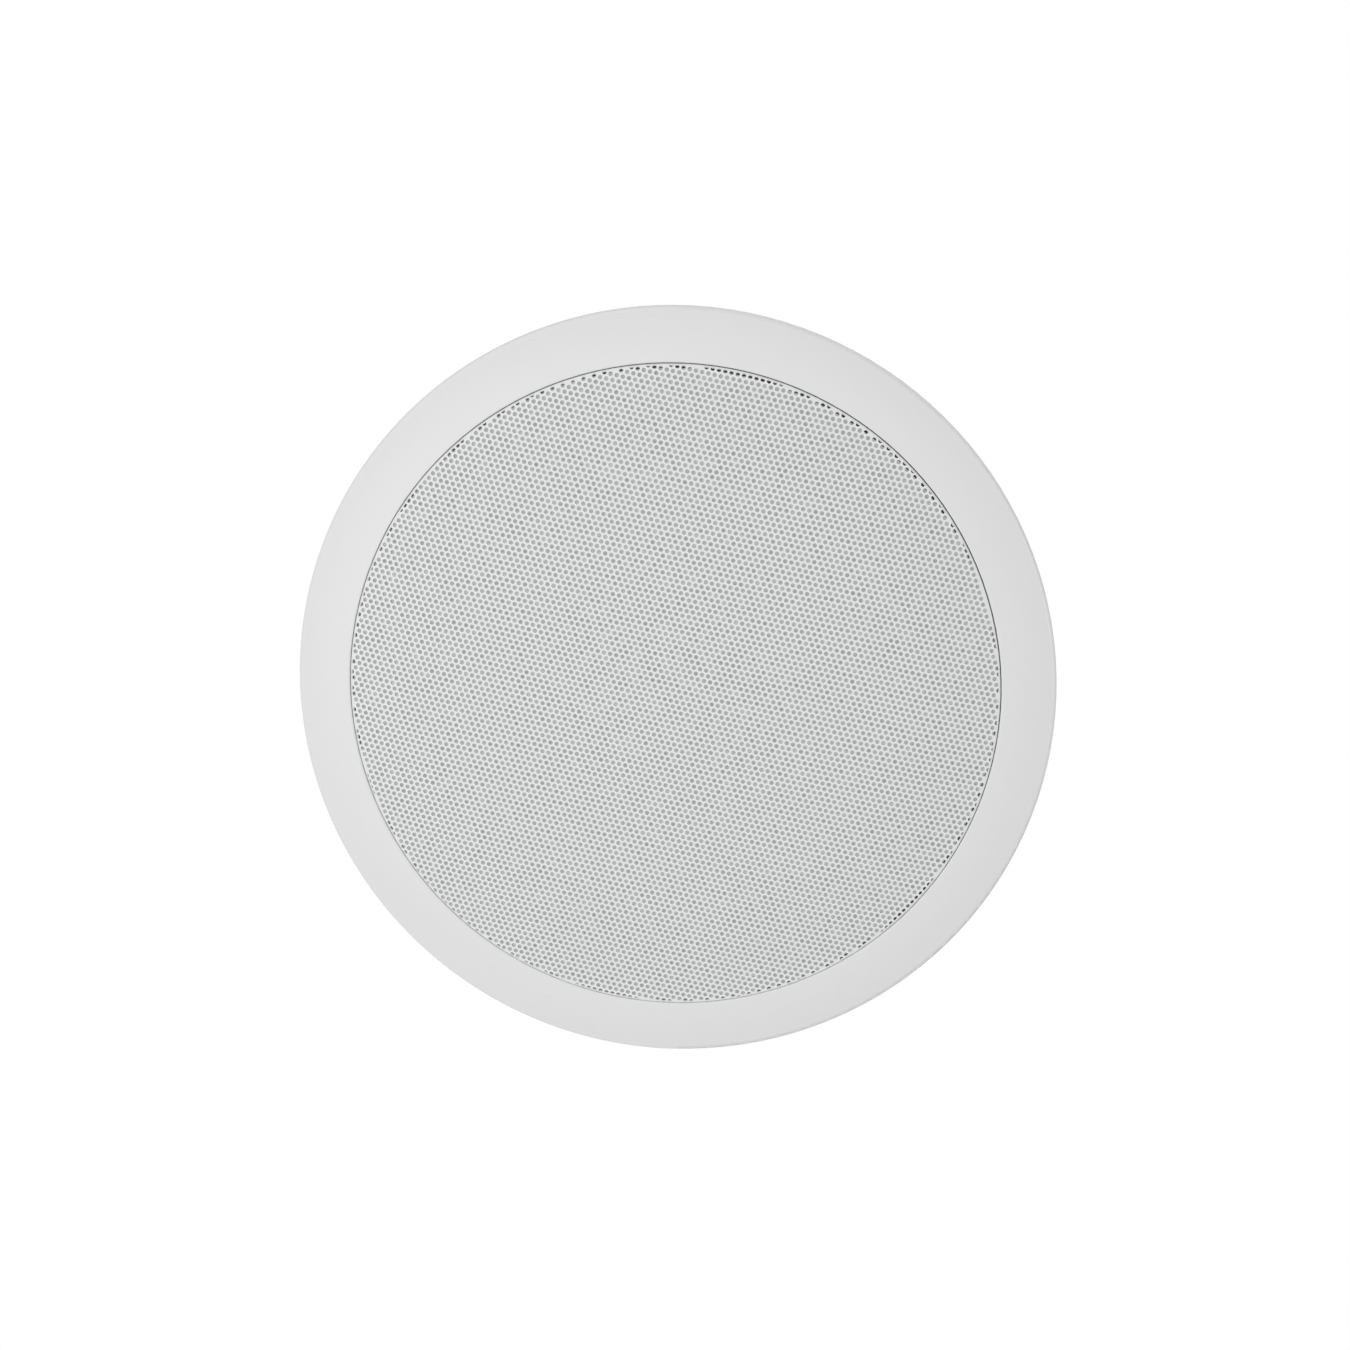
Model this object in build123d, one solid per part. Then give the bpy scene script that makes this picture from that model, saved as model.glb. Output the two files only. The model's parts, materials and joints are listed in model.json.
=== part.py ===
"""Two-way in-ceiling speaker. Millimetres, +Z up into the ceiling, ceiling face at z = 0, grille facing -Z."""

import math
import os

from build123d import *

os.makedirs("parts", exist_ok=True)

# Bezel frame
flange_width = 16.5
flange_lip = 2.0
flange_rise = 3.6
flange_crown = 0.55
flange_edge = 1.2
recess_edge = 0.5
clamp_room = 16.5
frame_wall = 2.2
barrel_height = 8.0
shelf_z = 2.0
shelf_width = 5.8
baffle_z = 6.5
baffle_thickness = 2.5
flange_rib_count = 24

# Grille and its cloth
grille_gap = 0.3
grille_sheet = 0.5
grille_bend = 0.8
grille_set_back = 0.0
crown_radius = 1550.0
shoulder_radius = 220.0
shoulder_width = 29.4
opening_pitch = 16.0
opening_diameter = 10.2
cloth_thickness = 0.35
cloth_margin = 0.8
glue_line = 0.1

# Low-frequency driver
basket_diameter = 164.0
basket_rim = 8.8
basket_sheet = 1.2
basket_base_diameter = 72.8
gasket_thickness = 2.8
cone_depth = 19.2
cone_sheet = 0.8
surround_roll = 5.0
surround_sheet = 0.8
cap_diameter = 42.0
cap_rise = 7.0
former_radius = 12.45
former_wall = 0.3
coil_wall = 0.55
coil_length = 10.0
magnetic_gap = 0.55
spider_z = 24.2
spider_sheet = 0.5
spider_waves = 4
basket_depth = 30.2
top_plate_diameter = 72.0
plate_thickness = 5.0
magnet_diameter = 80.0
magnet_bore = 34.0
magnet_thickness = 13.0
magnet_chamfer = 0.8
tag_pitch = 11.0
lead_radius = 0.8
lead_drop = 4.4
tinsel_radius = 0.4
cone_travel = 3.5

# High-frequency driver and its bridge
bridge_angle = 67.5
bridge_width = 13.0
bridge_bar = 2.8
bridge_z = 0.4
bridge_screw_inset = 11.8
pot_radius = 12.0
pot_bore = 9.2
pot_depth = 9.0
face_radius = 19.0
face_thickness = 2.2
dome_radius = 8.0

# Crossover
tray_x = 60.0
tray_y = 46.0
tray_base = 2.0
standoff_height = 3.0
board_thickness = 1.6
tray_screw_spread = 40.0
tray_screw_grip = 3.6
spool_radius = 10.6
spool_core = 4.2
spool_bore = 3.0
spool_flange = 1.2
spool_height = 11.0
winding_radius = 9.6
terminal_x = 16.0
terminal_y = 28.0
terminal_z = 13.0
button_travel = 2.5

# Ceiling clamps
clamp_inset = 7.8
clamp_angles = (45.0, 135.0, 225.0, 315.0)
clamp_seat = 3.5
clamp_screw_length = 49.0
clamp_screw_radius = 2.0
clamp_screw_tail = 7.5
dog_reach = 27.0
dog_width = 8.0
dog_height = 11.0
hub_radius = 5.0

# Fits
running_clearance = 0.3
thread_clearance = 0.05
tower_clearance = 0.6
seat_clearance = 1.0

# Derived levels and radii
basket_radius = basket_diameter / 2
recess_radius = basket_radius + clamp_room
flange_radius = recess_radius + flange_width
barrel_radius = recess_radius + frame_wall
shelf_inner = recess_radius - shelf_width
baffle_rear = baffle_z + baffle_thickness
bezel_edge = -(flange_lip + flange_rise)
grille_radius = recess_radius - grille_gap
grille_flat = grille_radius - grille_bend
grille_edge = bezel_edge + grille_set_back
rim_front = baffle_rear + gasket_thickness
rim_rear = rim_front + basket_sheet
roll_outer = basket_radius - basket_rim + 0.1
roll_centre = roll_outer - surround_roll - surround_sheet / 2
cone_radius = roll_centre - surround_roll - surround_sheet / 2 + 0.3
aperture_radius = roll_outer + 1.3
woofer_screw_radius = basket_radius - 3.5
neck_z = rim_front + cone_depth
shelf_front = rim_front + spider_z
base_front = rim_front + basket_depth
base_rear = base_front + basket_sheet
coil_radius = former_radius + former_wall + coil_wall
plate_bore = coil_radius + magnetic_gap
pole_radius = former_radius - magnetic_gap
plate_rear = base_rear + plate_thickness
magnet_rear = plate_rear + magnet_thickness
yoke_rear = magnet_rear + plate_thickness
former_back = plate_rear + 4.8
tray_top = yoke_rear + tray_base
board_low = tray_top + standoff_height
board_top = board_low + board_thickness
terminal_top = board_top + terminal_z
base_radius = basket_base_diameter / 2
tag_shelf = base_radius + 4.6
bridge_screw_radius = recess_radius - bridge_screw_inset
clamp_radius = recess_radius - clamp_inset
dog_low = shelf_z + clamp_seat + clamp_screw_length - clamp_screw_tail - dog_height
clamp_travel = dog_low - baffle_rear - seat_clearance

WOOFER_SCREW_ANGLES = (0.0, 90.0, 180.0, 270.0)


def face_of(points):
    """A closed polygon of (r, z) points as a face in the XZ plane."""
    return Plane.XZ * make_face(Polyline(*points, close=True))


def lathe(points, arc=360.0):
    """A polygon of (r, z) points turned about Z."""
    return revolve(face_of(points), Axis.Z, arc)


def lathe_lines(lines, arc=360.0):
    """A closed run of lines and arcs in (r, z) turned about Z."""
    return revolve(Plane.XZ * make_face(lines), Axis.Z, arc)


def ring(outer, inner, low, high):
    """A plain ring about Z."""
    return lathe([(inner, low), (outer, low), (outer, high), (inner, high)])


def disc(radius, low, high):
    """A plain upright cylinder from low to high."""
    return Pos(0, 0, low) * Cylinder(radius, high - low, align=(Align.CENTER, Align.CENTER, Align.MIN))


def block(x0, x1, y0, y1, z0, z1):
    """A box between two corners."""
    size = (x1 - x0, y1 - y0, z1 - z0)
    return Pos((x0 + x1) / 2, (y0 + y1) / 2, (z0 + z1) / 2) * Box(*size)


def around(angle, radius=0.0):
    """Turned about Z by angle, then moved out along that direction by radius."""
    return Rot(0, 0, angle) * Pos(radius, 0, 0)


def cap_mid(radius, rise):
    """The rise at half the radius of a shallow spherical cap."""
    sphere = (radius**2 + rise**2) / (2 * rise)
    return sphere - math.sqrt(sphere**2 - (radius / 2) ** 2)


def circle_through(a, b, c):
    """Centre and radius of the circle through three points."""
    d = 2 * (a[0] * (b[1] - c[1]) + b[0] * (c[1] - a[1]) + c[0] * (a[1] - b[1]))
    sa, sb, sc = (p[0] ** 2 + p[1] ** 2 for p in (a, b, c))
    x = (sa * (b[1] - c[1]) + sb * (c[1] - a[1]) + sc * (a[1] - b[1])) / d
    y = (sa * (c[0] - b[0]) + sb * (a[0] - c[0]) + sc * (b[0] - a[0])) / d
    return (x, y), math.hypot(a[0] - x, a[1] - y)


def bezel_frame():
    """The one moulding that everything is fixed to."""
    lip_in = flange_radius - flange_edge
    edge_in = recess_radius + recess_edge
    lip_low = -flange_lip + flange_edge
    middle = ((lip_in + edge_in) / 2, -flange_lip - flange_rise / 2 - flange_crown)
    groove_out = flange_radius - 5.0
    groove_in = barrel_radius + frame_wall
    slope = flange_rise / (lip_in - edge_in)
    deep_in = -flange_lip - slope * (lip_in - groove_in) + frame_wall - 0.3
    deep_out = min(-0.6, -flange_lip - slope * (lip_in - groove_out) + frame_wall - 0.3)
    front = ThreePointArc((edge_in, bezel_edge), middle, (lip_in, -flange_lip))
    cut = 1 - math.sin(math.radians(45))
    corner = (flange_radius - flange_edge * cut, -flange_lip + flange_edge * cut)
    lip = ThreePointArc((lip_in, -flange_lip), corner, (flange_radius, lip_low))
    bend = recess_edge * cut
    edge = ThreePointArc(
        (recess_radius, bezel_edge + recess_edge), (recess_radius + bend, bezel_edge + bend), (edge_in, bezel_edge)
    )
    rest = Polyline(
        (flange_radius, lip_low),
        (flange_radius, 0),
        (groove_out, 0),
        (groove_out, deep_out),
        (groove_in, deep_in),
        (groove_in, 0),
        (barrel_radius, 0),
        (barrel_radius, barrel_height),
        (recess_radius, barrel_height),
        (recess_radius, shelf_z + frame_wall),
        (shelf_inner + frame_wall, shelf_z + frame_wall),
        (shelf_inner + frame_wall, baffle_rear),
        (aperture_radius, baffle_rear),
        (aperture_radius, baffle_z),
        (shelf_inner, baffle_z),
        (shelf_inner, shelf_z),
        (recess_radius, shelf_z),
        (recess_radius, bezel_edge + recess_edge),
    )
    body = lathe_lines([front, lip, rest, edge])
    more = []
    less = []
    # thin ribs in the hollow behind the flange, just clear of the ceiling
    rib = lathe(
        [(groove_in - 0.3, deep_in - 0.6), (groove_out + 0.3, deep_out - 0.4), (groove_out + 0.3, -0.3),
         (groove_in - 0.3, -0.3)], 0.7
    )
    for n in range(flange_rib_count):
        more.append(Rot(0, 0, n * 360 / flange_rib_count) * rib)
    # small pads on the recess wall that the grille's skirt presses between
    pad = lathe(
        [(grille_radius + 0.05, -1.5), (recess_radius + 0.3, -2.3), (recess_radius + 0.3, shelf_z + 0.2),
         (grille_radius + 0.05, shelf_z + 0.2)], 1.4
    )
    for n in range(12):
        more.append(Rot(0, 0, 14 + n * 30) * pad)
    # clamp bosses with their screw seats, and the towers that guide and stop the dogs
    tower_in = hub_radius + tower_clearance
    tower_top = dog_low + dog_height - seat_clearance
    stop = math.degrees(math.asin((dog_width / 2 + 0.4) / tower_in))
    tower = lathe(
        [(tower_in, baffle_rear - 1), (tower_in + 2, baffle_rear - 1), (tower_in + 2, tower_top - 2),
         (tower_in + 1.2, tower_top), (tower_in, tower_top)], 270 - 2 * stop
    )
    head_room = clamp_screw_radius * 2 + 0.6
    for angle in clamp_angles:
        place = around(angle, clamp_radius)
        more.append(place * disc(hub_radius + 1, shelf_z, baffle_rear))
        more.append(place * Rot(0, 0, stop) * tower)
        more.append(place * Rot(0, 0, 105) * gusset_of(tower_in))
        less.append(place * disc(head_room, shelf_z - 1, shelf_z + clamp_seat))
        less.append(place * disc(clamp_screw_radius + running_clearance, shelf_z, baffle_rear + 1))
    # blind bosses for the driver's screws, and for the bridge's
    for angle in WOOFER_SCREW_ANGLES:
        place = around(angle, woofer_screw_radius)
        more.append(place * disc(4, baffle_z - 3, baffle_rear - 0.5))
        less.append(place * disc(1.5 + thread_clearance, baffle_z - 1.8, baffle_rear + 1))
        for side in (-8, 8):
            web = block(basket_radius + 1, shelf_inner + frame_wall - 0.4, -0.8, 0.8, baffle_rear - 1, baffle_rear + 4)
            more.append(Rot(0, 0, angle + side) * web)
    for angle in (bridge_angle, bridge_angle + 180):
        place = around(angle, bridge_screw_radius)
        more.append(place * disc(3.8, baffle_rear - 1, baffle_rear + 4))
        less.append(place * disc(1.5 + thread_clearance, baffle_z - 1, baffle_rear + 3))
    # the hole that the leads to the bridge come through
    less.append(around(bridge_angle + 188.5, bridge_screw_radius - 1) * disc(2.6, baffle_z - 1, baffle_rear + 1))
    return body + more - less


def gusset_of(tower_in):
    """A buttress beside a guide tower."""
    low = baffle_rear - 1
    side = make_face(Polyline((tower_in + 1, low), (tower_in + 5, low), (tower_in + 1, low + 14), close=True))
    return extrude(Plane.XZ * side, 0.9, both=True)


def dome_arcs():
    """The grille's crown, shoulder and fold, each tangent to the next: (centre, radius, end angle) for each."""
    crown_end = math.asin((grille_flat - shoulder_width) / crown_radius)
    step = crown_radius - shoulder_radius
    shoulder_r = step * math.sin(crown_end)
    shoulder_end = math.asin((grille_flat - shoulder_r) / shoulder_radius)
    shoulder_z = grille_edge + shoulder_radius * math.cos(shoulder_end)
    crown_z = shoulder_z + step * math.cos(crown_end)
    fold_radius = grille_bend / (1 - math.sin(shoulder_end))
    fold_z = grille_edge + fold_radius * math.cos(shoulder_end)
    return (
        ((0.0, crown_z), crown_radius, crown_end),
        ((shoulder_r, shoulder_z), shoulder_radius, shoulder_end),
        ((grille_radius - fold_radius, fold_z), fold_radius, math.pi / 2),
    )


def dome_run(inset, end=math.pi / 2):
    """The dome's line from the apex out to an angle, set back behind its face by inset: arcs and their last point."""
    run = []
    low = 0.0
    point = None
    for (r, z), radius, high in dome_arcs():
        high = min(high, end)
        reach = radius - inset
        spots = [(r + reach * math.sin(a), z - reach * math.cos(a)) for a in (low, (low + high) / 2, high)]
        run.append(ThreePointArc(*spots))
        point = spots[2]
        low = high
        if high == end:
            break
    return run, point


def grille():
    """Domed steel sheet with a folded skirt, pierced by a hexagonal field of round openings."""
    front, front_end = dome_run(0.0)
    back, back_end = dome_run(grille_sheet)
    (_, crown_z), radius, _ = dome_arcs()[0]
    top = crown_z - radius
    skirt = Polyline(front_end, (front_end[0], shelf_z), (back_end[0], shelf_z), back_end)
    sheet = lathe_lines(front + [skirt] + back + [Line((0, top + grille_sheet), (0, top))])
    reach = grille_flat - 0.6 - opening_diameter / 2
    rows = int(reach / (opening_pitch * 0.866)) + 1
    spots = []
    for row in range(-rows, rows + 1):
        for column in range(-2 * rows, 2 * rows + 1):
            x = (column + row / 2) * opening_pitch
            y = row * opening_pitch * math.sqrt(3) / 2
            if math.hypot(x, y) <= reach:
                spots.append((x, y))
    holes = extrude(Pos(0, 0, top - 1) * Sketch(children=[Pos(*s) * Circle(opening_diameter / 2) for s in spots]), 12)
    return sheet - holes


def scrim_cloth():
    """The cloth glued behind the grille, a thin domed disc that stops short of the fold."""
    (shoulder_r, _), radius, _ = dome_arcs()[1]
    inset = grille_sheet + glue_line
    end = math.asin((grille_flat - cloth_margin - shoulder_r) / (radius - inset))
    front, front_end = dome_run(inset, end)
    back, back_end = dome_run(inset + cloth_thickness, end)
    (_, crown_z), radius, _ = dome_arcs()[0]
    apex = crown_z - radius + inset
    return lathe_lines(front + [Line(front_end, back_end)] + back + [Line((0, apex + cloth_thickness), (0, apex))])


def woofer_basket():
    """Pressed steel basket: rim, open conical wall, spider shelf and base."""
    inner_top = roll_outer - 0.1
    inner_low = base_radius + 8.4
    t = basket_sheet
    body = lathe(
        [
            (basket_radius, rim_front),
            (inner_top, rim_front),
            (inner_low, shelf_front),
            (base_radius - t, shelf_front),
            (base_radius - t, base_front),
            (plate_bore + 0.6, base_front),
            (plate_bore + 0.6, base_rear),
            (base_radius, base_rear),
            (base_radius, shelf_front + t),
            (inner_low + 0.5, shelf_front + t),
            (inner_top + 0.5, rim_rear),
            (basket_radius, rim_rear),
        ]
    )
    # six rounded windows square to the wall
    run = inner_top - inner_low
    fall = shelf_front - rim_front
    slant = math.hypot(run, fall)
    centre = ((inner_top + inner_low) / 2, (shelf_front + rim_front) / 2 - 0.3)
    plane = Plane(origin=(centre[0], 0, centre[1]), x_dir=(0, 1, 0), z_dir=(fall / slant, 0, run / slant))
    half = slant / 2 - 4.5
    wide = (centre[0] + half * run / slant) * math.tan(math.radians(22.5))
    narrow = (centre[0] - half * run / slant) * math.tan(math.radians(22.5))
    outline = make_face(Polyline((-wide, -half), (wide, -half), (narrow, half), (-narrow, half), close=True))
    if (plane * Pos(0, half, 0)).position.X > centre[0]:
        outline = make_face(Polyline((-wide, half), (wide, half), (narrow, -half), (-narrow, -half), close=True))
    window = extrude(plane * fillet(outline.vertices(), 3.5), 9, both=True)
    less = [Rot(0, 0, 60 * n) * window for n in range(6)]
    for angle in WOOFER_SCREW_ANGLES:
        less.append(around(angle, woofer_screw_radius) * disc(2.0, rim_front - 1, rim_rear + 1))
    return body - less


def gasket():
    """Foam ring between the basket's rim and the baffle."""
    body = ring(basket_radius - 0.6, roll_outer + 3.0, baffle_rear, rim_front)
    return body - [
        around(angle, woofer_screw_radius) * disc(2.0, baffle_rear - 1, rim_front + 1) for angle in WOOFER_SCREW_ANGLES
    ]


def surround():
    """Half-roll rubber surround, glued to the rim outside and to the cone inside."""
    level = rim_front - surround_sheet
    outer = surround_roll + surround_sheet / 2
    inner = surround_roll - surround_sheet / 2
    lip_in = cone_radius - 3.0
    lip_out = roll_outer + 2.4
    lines = [
        Polyline((roll_centre + inner, rim_front), (lip_out, rim_front), (lip_out, level), (roll_centre + outer, level)),
        ThreePointArc(
            (roll_centre + outer, level), (roll_centre, level - outer), (roll_centre - outer, level)
        ),
        Polyline((roll_centre - outer, level), (lip_in, level), (lip_in, rim_front), (roll_centre - inner, rim_front)),
        Line((roll_centre - inner, rim_front), (roll_centre - inner, level)),
        ThreePointArc((roll_centre - inner, level), (roll_centre, level - inner), (roll_centre + inner, level)),
        Line((roll_centre + inner, level), (roll_centre + inner, rim_front)),
    ]
    return lathe_lines(lines)


def cone_points():
    """Outer, middle and neck points of the cone's front face."""
    outer = (cone_radius - 3.3, rim_front)
    neck = (former_radius + former_wall + 0.05, neck_z)
    middle = ((outer[0] + neck[0]) / 2 + 1.2, (outer[1] + neck[1]) / 2 + 2.2)
    return outer, middle, neck


def cone():
    """Curved paper cone with a flat glueing rim."""
    outer, middle, neck = cone_points()
    t = cone_sheet
    lines = [
        Line((cone_radius, rim_front), outer),
        ThreePointArc(outer, middle, neck),
        Line(neck, (neck[0], neck[1] + t * 1.5)),
        ThreePointArc(
            (neck[0], neck[1] + t * 1.5), (middle[0] + 0.5 * t, middle[1] + t * 1.1), (outer[0] + 0.5 * t, outer[1] + t)
        ),
        Polyline((outer[0] + 0.5 * t, outer[1] + t), (cone_radius, rim_front + t), (cone_radius, rim_front)),
    ]
    return lathe_lines(lines)


def dust_cap():
    """Dome over the coil, sitting on the cone."""
    centre, radius = circle_through(*cone_points())
    reach = cap_diameter / 2
    side = 1 if cone_points()[1][1] > centre[1] else -1
    seat = centre[1] + side * math.sqrt(radius**2 - (reach - centre[0]) ** 2)
    low = seat - 0.05
    t = 0.6
    mid = cap_mid(reach, cap_rise)
    inside = cap_mid(reach - 1.0, cap_rise - t)
    lines = [
        ThreePointArc((reach, low), (reach / 2, low - cap_rise + mid), (0, low - cap_rise)),
        Line((0, low - cap_rise), (0, low - cap_rise + t)),
        ThreePointArc(
            (0, low - cap_rise + t), ((reach - 1.0) / 2, low - cap_rise + t + inside), (reach - 1.0, low)
        ),
        Line((reach - 1.0, low), (reach, low)),
    ]
    return lathe_lines(lines)


def spider():
    """Corrugated cloth disc that centres the coil."""
    outer = base_radius + 6.6
    flat = base_radius - basket_sheet - 0.8
    start = former_radius + former_wall + 2.6
    t = spider_sheet
    level = shelf_front - t
    step = (flat - start) / (2 * spider_waves)
    upper = [Line((former_radius + former_wall + 0.05, level), (start, level))]
    lower = [Line((start, shelf_front), (former_radius + former_wall + 0.05, shelf_front))]
    for n in range(2 * spider_waves):
        a = start + n * step
        bow = -1.5 if n % 2 == 0 else 1.5
        upper.append(ThreePointArc((a, level), (a + step / 2, level + bow), (a + step, level)))
        lower.append(ThreePointArc((a, level + t), (a + step / 2, level + bow + t), (a + step, level + t)))
    upper.append(Polyline((flat, level), (outer, level), (outer, shelf_front), (flat, shelf_front)))
    upper.append(
        Line((former_radius + former_wall + 0.05, shelf_front), (former_radius + former_wall + 0.05, level))
    )
    return lathe_lines(upper + lower)


def yoke():
    """Back plate and pole in one piece, with threaded holes for the tray."""
    reach = top_plate_diameter / 2
    body = lathe(
        [(0, magnet_rear), (reach, magnet_rear), (reach, yoke_rear - magnet_chamfer), (reach - magnet_chamfer, yoke_rear),
         (0, yoke_rear)]
    )
    body += disc(pole_radius, base_front + 1.2, magnet_rear + 0.5)
    pole_vent = disc(4, base_front, yoke_rear - plate_thickness + 1)
    holes = [Pos(x, 0, 0) * disc(1.6 + thread_clearance, yoke_rear - 4, yoke_rear + 1) for x in tray_screw_spots()]
    return body - [pole_vent] - holes


def magnet():
    """Ferrite ring with ground faces and chamfered outer edges."""
    reach = magnet_diameter / 2
    bore = magnet_bore / 2
    chamfer = magnet_chamfer
    return lathe(
        [(bore, plate_rear), (reach - chamfer, plate_rear), (reach, plate_rear + chamfer), (reach, magnet_rear - chamfer),
         (reach - chamfer, magnet_rear), (bore, magnet_rear)]
    )


def tube_along(points, radii, radius):
    """A round wire along straight runs joined by arcs."""
    path = FilletPolyline(*points, radius=radii)
    start = path @ 0
    along = path % 0
    return sweep(Plane(origin=start, z_dir=along) * Circle(radius), path=path)


def tag_strip():
    """Fibre strip riveted to the spider shelf's back."""
    low = shelf_front + basket_sheet
    strip = Pos(-tag_shelf, 0, low + 0.6) * Box(7.6, tag_pitch + 8.0, 1.2)
    return fillet(strip.edges().filter_by(Axis.Z), 1.5)


def solder_tags():
    """Two tinned tags standing on the strip."""
    low = shelf_front + basket_sheet + 1.2
    tag = block(-tag_shelf - 2.6, -tag_shelf + 2.6, -1.8, 1.8, low, low + 0.6)
    tag += block(-tag_shelf - 2.6, -tag_shelf - 2.0, -1.5, 1.5, low + 0.4, low + 5.2)
    tag -= Pos(-tag_shelf - 2.3, 0, low + 3.8) * Rot(0, 90, 0) * Cylinder(0.6, 3)
    return [Pos(0, y, 0) * tag for y in (-tag_pitch / 2, tag_pitch / 2)]


def tinsel_leads():
    """Two braided leads from the cone out through a window to the tags."""
    tag_x = -tag_shelf - 2.6
    low = shelf_front + basket_sheet + 1.2
    outer, middle, neck = cone_points()
    t = cone_sheet
    back = [(neck[0], neck[1] + t * 1.5), (middle[0] + 0.5 * t, middle[1] + t * 1.1), (outer[0] + 0.5 * t, outer[1] + t)]
    centre, radius = circle_through(*back)
    side = 1 if back[1][1] > centre[1] else -1
    start = base_radius - 8.9
    level = centre[1] + side * math.sqrt(radius**2 - (start - centre[0]) ** 2)
    solids = []
    for y in (-tag_pitch / 2, tag_pitch / 2):
        points = [
            (-start, y, level + 1.0),
            (-start - 9.5, y, level + 2.2),
            (tag_x - 9.0, y, level + 3.6),
            (tag_x - 8.0, y, low + 1.6),
            (tag_x - 0.05, y, low + 1.6),
        ]
        solids.append(tube_along(points, 2.8, tinsel_radius))
    return solids


def tweeter_bridge():
    """Bar across the cone with two feet on the baffle and a ring for the small driver."""
    ring_out = pot_radius + 3.6
    ring_in = pot_radius + 0.1
    hub = ring(ring_out, ring_in, bridge_z, bridge_z + pot_depth - 1.5)
    foot_end = bridge_screw_radius + 4.4
    more = []
    less = []
    for side in (0, 180):
        plan = make_face(
            Polyline((ring_in + 1, -6.5), (foot_end - 5, -bridge_width / 2 + 1.2), (foot_end, -bridge_width / 2 + 4),
                     (foot_end, bridge_width / 2 - 4), (foot_end - 5, bridge_width / 2 - 1.2), (ring_in + 1, 6.5),
                     close=True)
        )
        arm = Pos(0, 0, bridge_z) * extrude(plan, bridge_bar)
        spine = block(ring_in + 2, aperture_radius - 12.0, -1.1, 1.1, bridge_z + 0.5, bridge_z + bridge_bar + 2.0)
        foot = block(aperture_radius + 2.2, foot_end - 0.6, -4, 4, bridge_z + 1, baffle_z)
        foot = fillet(foot.edges().filter_by(Axis.Z), 2.0)
        more.extend([Rot(0, 0, side) * arm, Rot(0, 0, side) * foot, Rot(0, 0, side) * spine])
        less.append(around(side, bridge_screw_radius) * disc(1.8, bridge_z - 1, baffle_z + 1))
    less.append(disc(ring_in, bridge_z - 1, bridge_z + pot_depth + 2))
    return Rot(0, 0, bridge_angle) * (hub + more - less)


def tweeter_parts():
    """The small driver's pieces, all on the axis."""
    front = bridge_z
    base = 1.6
    floor = front + pot_depth - base
    pot = disc(pot_radius, front, front + pot_depth) - disc(pot_bore, front - 1, floor)
    magnet = disc(7.8, floor - 3.0, floor)
    plate = disc(7.5, floor - 5.0, floor - 3.0)
    coil = ring(8.5, 8.05, front + 0.5, front + 3.4)
    t = 0.3
    rise = 2.6
    rim = front - t
    mid = cap_mid(dome_radius, rise)
    roll_in = dome_radius + 0.4
    roll_out = pot_bore + 0.9
    roll_mid = (roll_in + roll_out) / 2
    lines = [
        ThreePointArc((0, rim - rise), (dome_radius / 2, rim - rise + mid), (dome_radius, rim)),
        Line((dome_radius, rim), (roll_in, rim)),
        ThreePointArc((roll_in, rim), (roll_mid, rim - 0.7), (roll_out, rim)),
        Polyline((roll_out, rim), (pot_radius - 0.2, rim), (pot_radius - 0.2, front), (roll_out, front)),
        ThreePointArc((roll_out, front), (roll_mid, front - 0.7), (roll_in, front)),
        Line((roll_in, front), (dome_radius, front)),
        ThreePointArc((dome_radius, front), (dome_radius / 2, front - rise + mid), (0, front - rise)),
        Line((0, front - rise), (0, rim - rise)),
    ]
    diaphragm = lathe_lines(lines)
    face = lathe(
        [
            (pot_bore + 1.6, front - t - 0.1),
            (pot_radius + 0.3, front - t - 0.1),
            (pot_radius + 0.3, front),
            (face_radius, front),
            (face_radius, front - face_thickness + 0.8),
            (face_radius - 0.8, front - face_thickness),
            (pot_radius + 2.4, front - face_thickness),
            (pot_bore + 2.0, front - t - 0.7),
            (pot_bore + 1.6, front - t - 0.5),
        ]
    )
    return {
        "tweeter_pot": pot,
        "tweeter_magnet": magnet,
        "tweeter_top_plate": plate,
        "tweeter_coil": coil,
        "tweeter_dome": diaphragm,
        "tweeter_face_ring": face,
    }


def pan_screw(head_radius, head_height, shank_radius, length):
    """A cross-recess screw, head below z = 0 and shank up along +Z."""
    head = lathe(
        [
            (0, -head_height),
            (head_radius * 0.55, -head_height),
            (head_radius * 0.86, -head_height * 0.72),
            (head_radius, -head_height * 0.3),
            (head_radius, 0),
            (0, 0),
        ]
    )
    shank = disc(shank_radius, -0.2, length - shank_radius * 0.6)
    tip = lathe([(0, length - shank_radius * 0.6 - 0.1), (shank_radius, length - shank_radius * 0.6 - 0.1),
                 (shank_radius, length - shank_radius * 0.6), (shank_radius * 0.6, length), (0, length)])
    wide = head_radius * 1.15
    slot = head_radius * 0.26
    deep = head_height * 0.55
    cross = Pos(0, 0, -head_height) * (Box(wide, slot, 2 * deep) + Box(slot, wide, 2 * deep))
    return head + shank + tip - cross


def clamp_screw():
    """Long machine screw that carries one dog."""
    return pan_screw(clamp_screw_radius * 2, 2.6, clamp_screw_radius, clamp_screw_length)


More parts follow.
